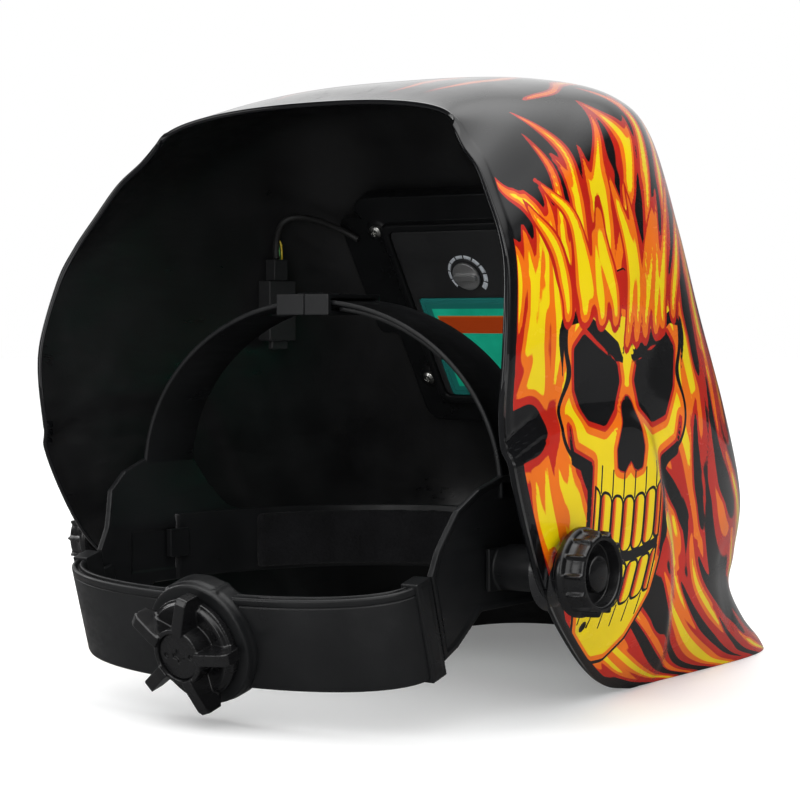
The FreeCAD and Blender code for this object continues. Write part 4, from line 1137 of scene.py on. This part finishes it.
def build_ratchet_housing():
    """Plate, round boss and two lugs, with the knob's bore and the window for the racks."""
    housing_parts = (
        plate_loops(((60.0, 36.4, 3.0, 21.4), (60.0, 36.4, 3.0, 26.3)), in_sleeve),
        lathe(((22.0, 25.2), (28.6, 25.0), (29.4, 24.6), (31.9, 24.4), (32.6, 24.0)), 120, in_sleeve, "y"),
        plate_loops(((26.0, 6.0, 1.5, 21.4), (26.0, 6.0, 1.5, 31.0)), in_sleeve, (0.0, 19.4)),
        plate_loops(((12.0, 5.0, 1.5, 22.2), (12.0, 5.0, 1.5, 31.0)), in_sleeve, (0.0, -20.8)),
    )
    housing = make("ratchet_housing", *joined(*housing_parts))
    softened(housing, 0.5, 4)
    cut(housing, [lathe(((16.0, 4.1), (40.0, 4.1)), 48, in_sleeve, "y"),
                  box(-31.0, 31.0, 18.0, 26.6, -14.9, 14.9, in_sleeve)])
    finish(housing, "rear_band")


build_sleeve()
build_band_clips()
build_ratchet_housing()

# ---------------- headband

ARM_OUTLINE = (
    (37.5, -32.5), (29.0, -28.5), (13.0, -16.5), (-30.0, -16.0), (-46.0, -14.0), (-46.0, 11.0), (-36.0, 14.0),
    (-27.0, 24.0), (-20.0, 36.0), (10.0, 36.0), (24.0, 31.5), (35.0, 24.0), (42.0, 8.0), (46.0, 0.0),
)
ARM_X, ARM_T, ARM_LEAN, LEAN_START = 83.0, 2.6, 0.3, 8.0


def build_side_plates():
    """Leaning plates with a sunk border, a raised inner panel and two slots."""
    for side, place in SIDES:
        faces_x = (ARM_X, ARM_X + ARM_T)
        obj = make("side_plate_" + side, *swept([[(x, y, z) for y, z in ARM_OUTLINE] for x in faces_x]))
        softened(obj, 0.5, 4)
        p = coordinates(obj)
        edge = -polygon(p[:, 1], p[:, 2], ARM_OUTLINE)
        outer_face = step(p[:, 0], ARM_X + 1.3, ARM_X + ARM_T - 0.3)
        inner_face = 1 - step(p[:, 0], ARM_X + 0.2, ARM_X + 1.1)
        p[:, 0] -= 0.7 * outer_face * step(edge, 2.0, 3.0)
        panel = np.maximum(np.abs(p[:, 1] + 2.5) - 30.0, np.abs(p[:, 2] + 2.5) - 9.0)
        p[:, 0] += 0.7 * inner_face * step(-panel, 0.0, 1.0)
        for slot_y in (-38.0, -32.0):
            slot = np.hypot(p[:, 1] - slot_y, np.maximum(np.abs(p[:, 2] + 2.0) - 6.0, 0.0)) - 1.3
            p[:, 0] -= 0.5 * outer_face * step(-slot, -0.4, 0.4)
        lean = np.maximum(p[:, 2] - LEAN_START, 0.0)
        p[:, 0] += ARM_LEAN * lean * lean / (lean + 2.0)
        set_coordinates(obj, place(p))
        face_outward(obj.data)
        finish(obj, "headband")


def build_band_tails():
    for side, place in (("left", in_sleeve), ("right", in_sleeve_mirrored)):
        tail = joined(box(81.0, 82.8, -11.5, 2.0, -11.0, 11.0, place),
                      box(81.0, 84.6, -11.5, -7.4, -11.0, 11.0, place))
        finish(softened(make("band_tail_" + side, *tail), 0.35, 2), "headband")


def build_crown_strap():
    """Half an ellipse over the head, with beaded edges and three peg holes."""
    profile = (
        (0.5, -20.0), (0.12, -19.8), (0.0, -19.4), (0.0, -18.6), (0.12, -18.3), (0.4, -18.1), (0.4, -5.0),
        (0.4, 8.1), (0.12, 8.3), (0.0, 8.6), (0.0, 9.4), (0.12, 9.8), (0.5, 10.0), (1.5, 10.0), (1.9, 9.8),
        (2.0, 9.4), (2.0, -5.0), (2.0, -19.4), (1.9, -19.8), (1.5, -20.0),
    )
    sections = []
    for j in range(181):
        angle = math.pi * (-0.012 + 1.024 * j / 180)
        c, s = math.cos(angle), math.sin(angle)
        sections.append([((92.5 - i) * c, y, 30.0 + (74.0 - i) * s) for i, y in profile])
    strap = make("crown_strap", *swept(sections))
    holes = []
    for angle in (1.22, 1.30, 1.38):
        x, z = 91.0 * math.cos(angle), 30.0 + 73.0 * math.sin(angle)
        holes.append(box(x - 1.6, x + 1.6, -9.0, -1.0, z - 6.0, z + 6.0))
    finish(cut(strap, holes), "headband")


def build_forehead_band():
    """The band across the forehead, with a recess for the sweatband."""
    profile = (
        (0.0, -15.2), (0.2, -15.8), (0.7, -16.0), (1.6, -16.0), (2.05, -15.8), (2.2, -15.2), (2.2, 11.2),
        (2.05, 11.8), (1.6, 12.0), (0.7, 12.0), (0.2, 11.8), (0.0, 11.2), (0.0, 9.4), (0.3, 9.1),
        (0.3, -13.1), (0.0, -13.4),
    )
    sections = band_sections(profile, 85.0, -112.0, 2.2, -0.5, np.pi * np.arange(1, 120) / 120)
    finish(make("forehead_band", *swept(sections)), "headband")


def on_buckle(p):
    """Stands a turned piece up beside the buckle's middle."""
    return np.stack([p[:, 1] + 9.5, p[:, 2] - 5.0, p[:, 0]], -1)


def build_buckle():
    """The CAD's buckle with its peg's head, a ridge across and a seam beside it."""
    peg = lathe(((104.5, 3.4), (106.4, 3.4), (106.8, 2.9)), 48, on_buckle)
    ridge = box(4.4, 6.4, -21.0, 11.0, 105.4, 106.6)
    buckle = softened(make("buckle", *joined(cad_mesh("strap_buckle"), peg, ridge)), 0.4)
    top_seam = box(1.8, 2.5, -30.0, 20.0, 105.3, 110.0)
    side_seam = box(1.8, 2.5, 10.7, 20.0, 90.0, 110.0)
    finish(cut(buckle, [top_seam, side_seam]), "strap_buckle")


build_side_plates()
build_band_tails()
build_crown_strap()
build_forehead_band()
build_buckle()

# ---------------- sweatband


def build_sweatband():
    """The foam pad, puffed by a short cloth run with its movement capped."""
    pad = make("sweat_pad", *cad_mesh("sweatband"))
    softened(pad, 2.8, 0)
    rest = coordinates(pad)
    cloth = pad.modifiers.new("Cloth", "CLOTH")
    cloth.settings.use_pressure = True
    cloth.settings.uniform_pressure_force = 4.0
    cloth.settings.effector_weights.gravity = 0.0
    cloth.settings.quality = 6
    last_frame, most_movement = 20, 0.55
    SCENE.frame_start, SCENE.frame_end = 1, last_frame
    cloth.point_cache.frame_start, cloth.point_cache.frame_end = 1, last_frame
    for number in range(1, last_frame + 1):
        SCENE.frame_set(number)
    baked(pad)
    SCENE.frame_set(1)
    p = coordinates(pad)
    move = p - rest
    size = np.linalg.norm(move, axis=1)[:, None]
    p = rest + move * np.minimum(1.0, most_movement / np.maximum(size, 1e-6))
    seam = 0.35 * np.exp(-(((p[:, 2] + 2.0) % 26.0 - 13.0) / 1.4) ** 2)
    arc = np.arctan2(p[:, 0], -p[:, 1]) * 95.0
    quilting = 0.45 * np.exp(-((arc % 24.0 - 12.0) / 1.6) ** 2) + seam
    inward = -p * np.array((1.0, 1.0, 0.0))
    inward /= np.linalg.norm(inward, axis=1)[:, None]
    facing = step((move * inward).sum(1), 0.0, 0.3)
    p -= inward * (quilting * facing)[:, None]
    set_coordinates(pad, p)
    smooth = pad.modifiers.new("Subdivide", "SUBSURF")
    smooth.levels = smooth.render_levels = 1
    baked(pad)
    finish(pad, "sweatband")


build_sweatband()

# ---------------- floor, lights and camera


def build_stage():
    """Pale floor that glows a little more with distance and looks dim in gloss."""
    segments = 96
    angles = 2 * np.pi * np.arange(segments) / segments
    radii = np.array((0.02, 0.6, 1.5, 4.0, 9.0))
    verts = np.stack([np.outer(radii, np.cos(angles)), np.outer(radii, np.sin(angles)) - 0.08,
                      np.full((len(radii), segments), -0.0602)], -1)
    faces = [tuple(f) for f in grid_faces(len(radii), segments, False, True)]
    faces.append(tuple(range(segments)))
    floor = make("floor", verts / MM, faces)
    look = Look("pale_floor")
    pale = look.blend(look.noise(1.2, 3.0), (0.87, 0.87, 0.87), (0.9, 0.9, 0.9))
    in_gloss = look.node("LightPath").outputs["Is Glossy Ray"]
    reach = look.node("VectorMath")
    reach.operation = "LENGTH"
    look.put(look.coords, reach.inputs[0])
    distant = Value(look, reach.outputs["Value"]).mapped(0.0, 1.0, 0.5, 2.2)
    glow = look.mixed(distant, (0.13, 0.13, 0.13), (0.2, 0.2, 0.2))
    look.feed(base_color=look.mixed(in_gloss, pale, (0.12, 0.12, 0.12)), roughness=0.7,
              emission_color=look.mixed(in_gloss, glow, (0.0, 0.0, 0.0)), emission_strength=1.0)
    floor.data.materials.append(look.material)


def area_light(name, place, target, size, power, height=None):
    light = bpy.data.lights.new(name, "AREA")
    light.shape = "RECTANGLE"
    light.size = size
    light.size_y = height or size
    light.energy = power
    obj = bpy.data.objects.new(name, light)
    obj.location = place
    obj.rotation_mode = "QUATERNION"
    obj.rotation_quaternion = (Vector(target) - Vector(place)).to_track_quat("-Z", "Y")
    SCENE.collection.objects.link(obj)
    return obj


def build_lights():
    area_light("top_softbox", (-0.35, 0.55, 1.25), (0.0, -0.05, 0.12), 1.7, 7.0, height=1.2)
    area_light("camera_fill", (-1.0, 1.7, 0.75), (0.0, 0.0, 0.05), 1.6, 15.0)
    area_light("rear_fill", (0.7, 1.7, 0.5), (0.0, 0.0, 0.0), 1.0, 8.0)
    fill = area_light("front_fill", (0.6, -1.9, 1.0), (0.0, -0.1, 0.05), 1.0, 9.0)
    fill.visible_glossy = False
    area_light("left_fill", (1.8, 0.1, 0.9), (0.1, -0.1, 0.05), 1.0, 9.0)

def build_world():
    """White round about; gloss sees only a band overhead and a faint glow behind the camera."""
    world = bpy.data.worlds.new("studio")
    world.use_nodes = True
    sky = Graph(world.node_tree)
    background = sky.tree.nodes["Background"]
    sky.put((1.0, 1.0, 1.0), background.inputs[0])
    direction = sky.node("TexCoord").outputs["Generated"]
    up = sky.split(direction)[2]
    behind = sky.node("VectorMath")
    behind.operation = "DOT_PRODUCT"
    behind.inputs[1].default_value = (0.5, -0.81, 0.3)
    sky.put(direction, behind.inputs[0])
    facing = Value(sky, behind.outputs["Value"]).mapped(0.0, 0.8, 0.62, 0.95)
    dim = up.mapped(0.05, 3.0, 0.62, 1.0) + up.mapped(0.0, 1.0, 0.03, 0.2) * facing
    seen = sky.node("Mix")
    in_gloss = sky.node("LightPath").outputs["Is Glossy Ray"]
    for socket, value in (("Factor", in_gloss), (2, 1.0), (3, dim)):
        sky.put(value, seen.inputs[socket])
    sky.put(seen.outputs[0], background.inputs[1])
    SCENE.world = world


def build_camera():
    """Behind the helmet's right side, a little above the tilt axis."""
    heading, down = math.radians(36.173), math.radians(1.92)
    look = Vector((math.sin(heading) * math.cos(down), -math.cos(heading) * math.cos(down), -math.sin(down)))
    camera = bpy.data.cameras.new("camera")
    camera.sensor_width = 36.0
    camera.lens = 103.2
    obj = bpy.data.objects.new("camera", camera)
    obj.location = (-0.5777, 0.7394, 0.0943)
    obj.rotation_mode = "QUATERNION"
    obj.rotation_quaternion = look.to_track_quat("-Z", "Y")
    SCENE.collection.objects.link(obj)
    SCENE.camera = obj


build_stage()
build_lights()
build_world()
build_camera()
SCENE.view_settings.view_transform = "Standard"
bpy.context.view_layer.update()
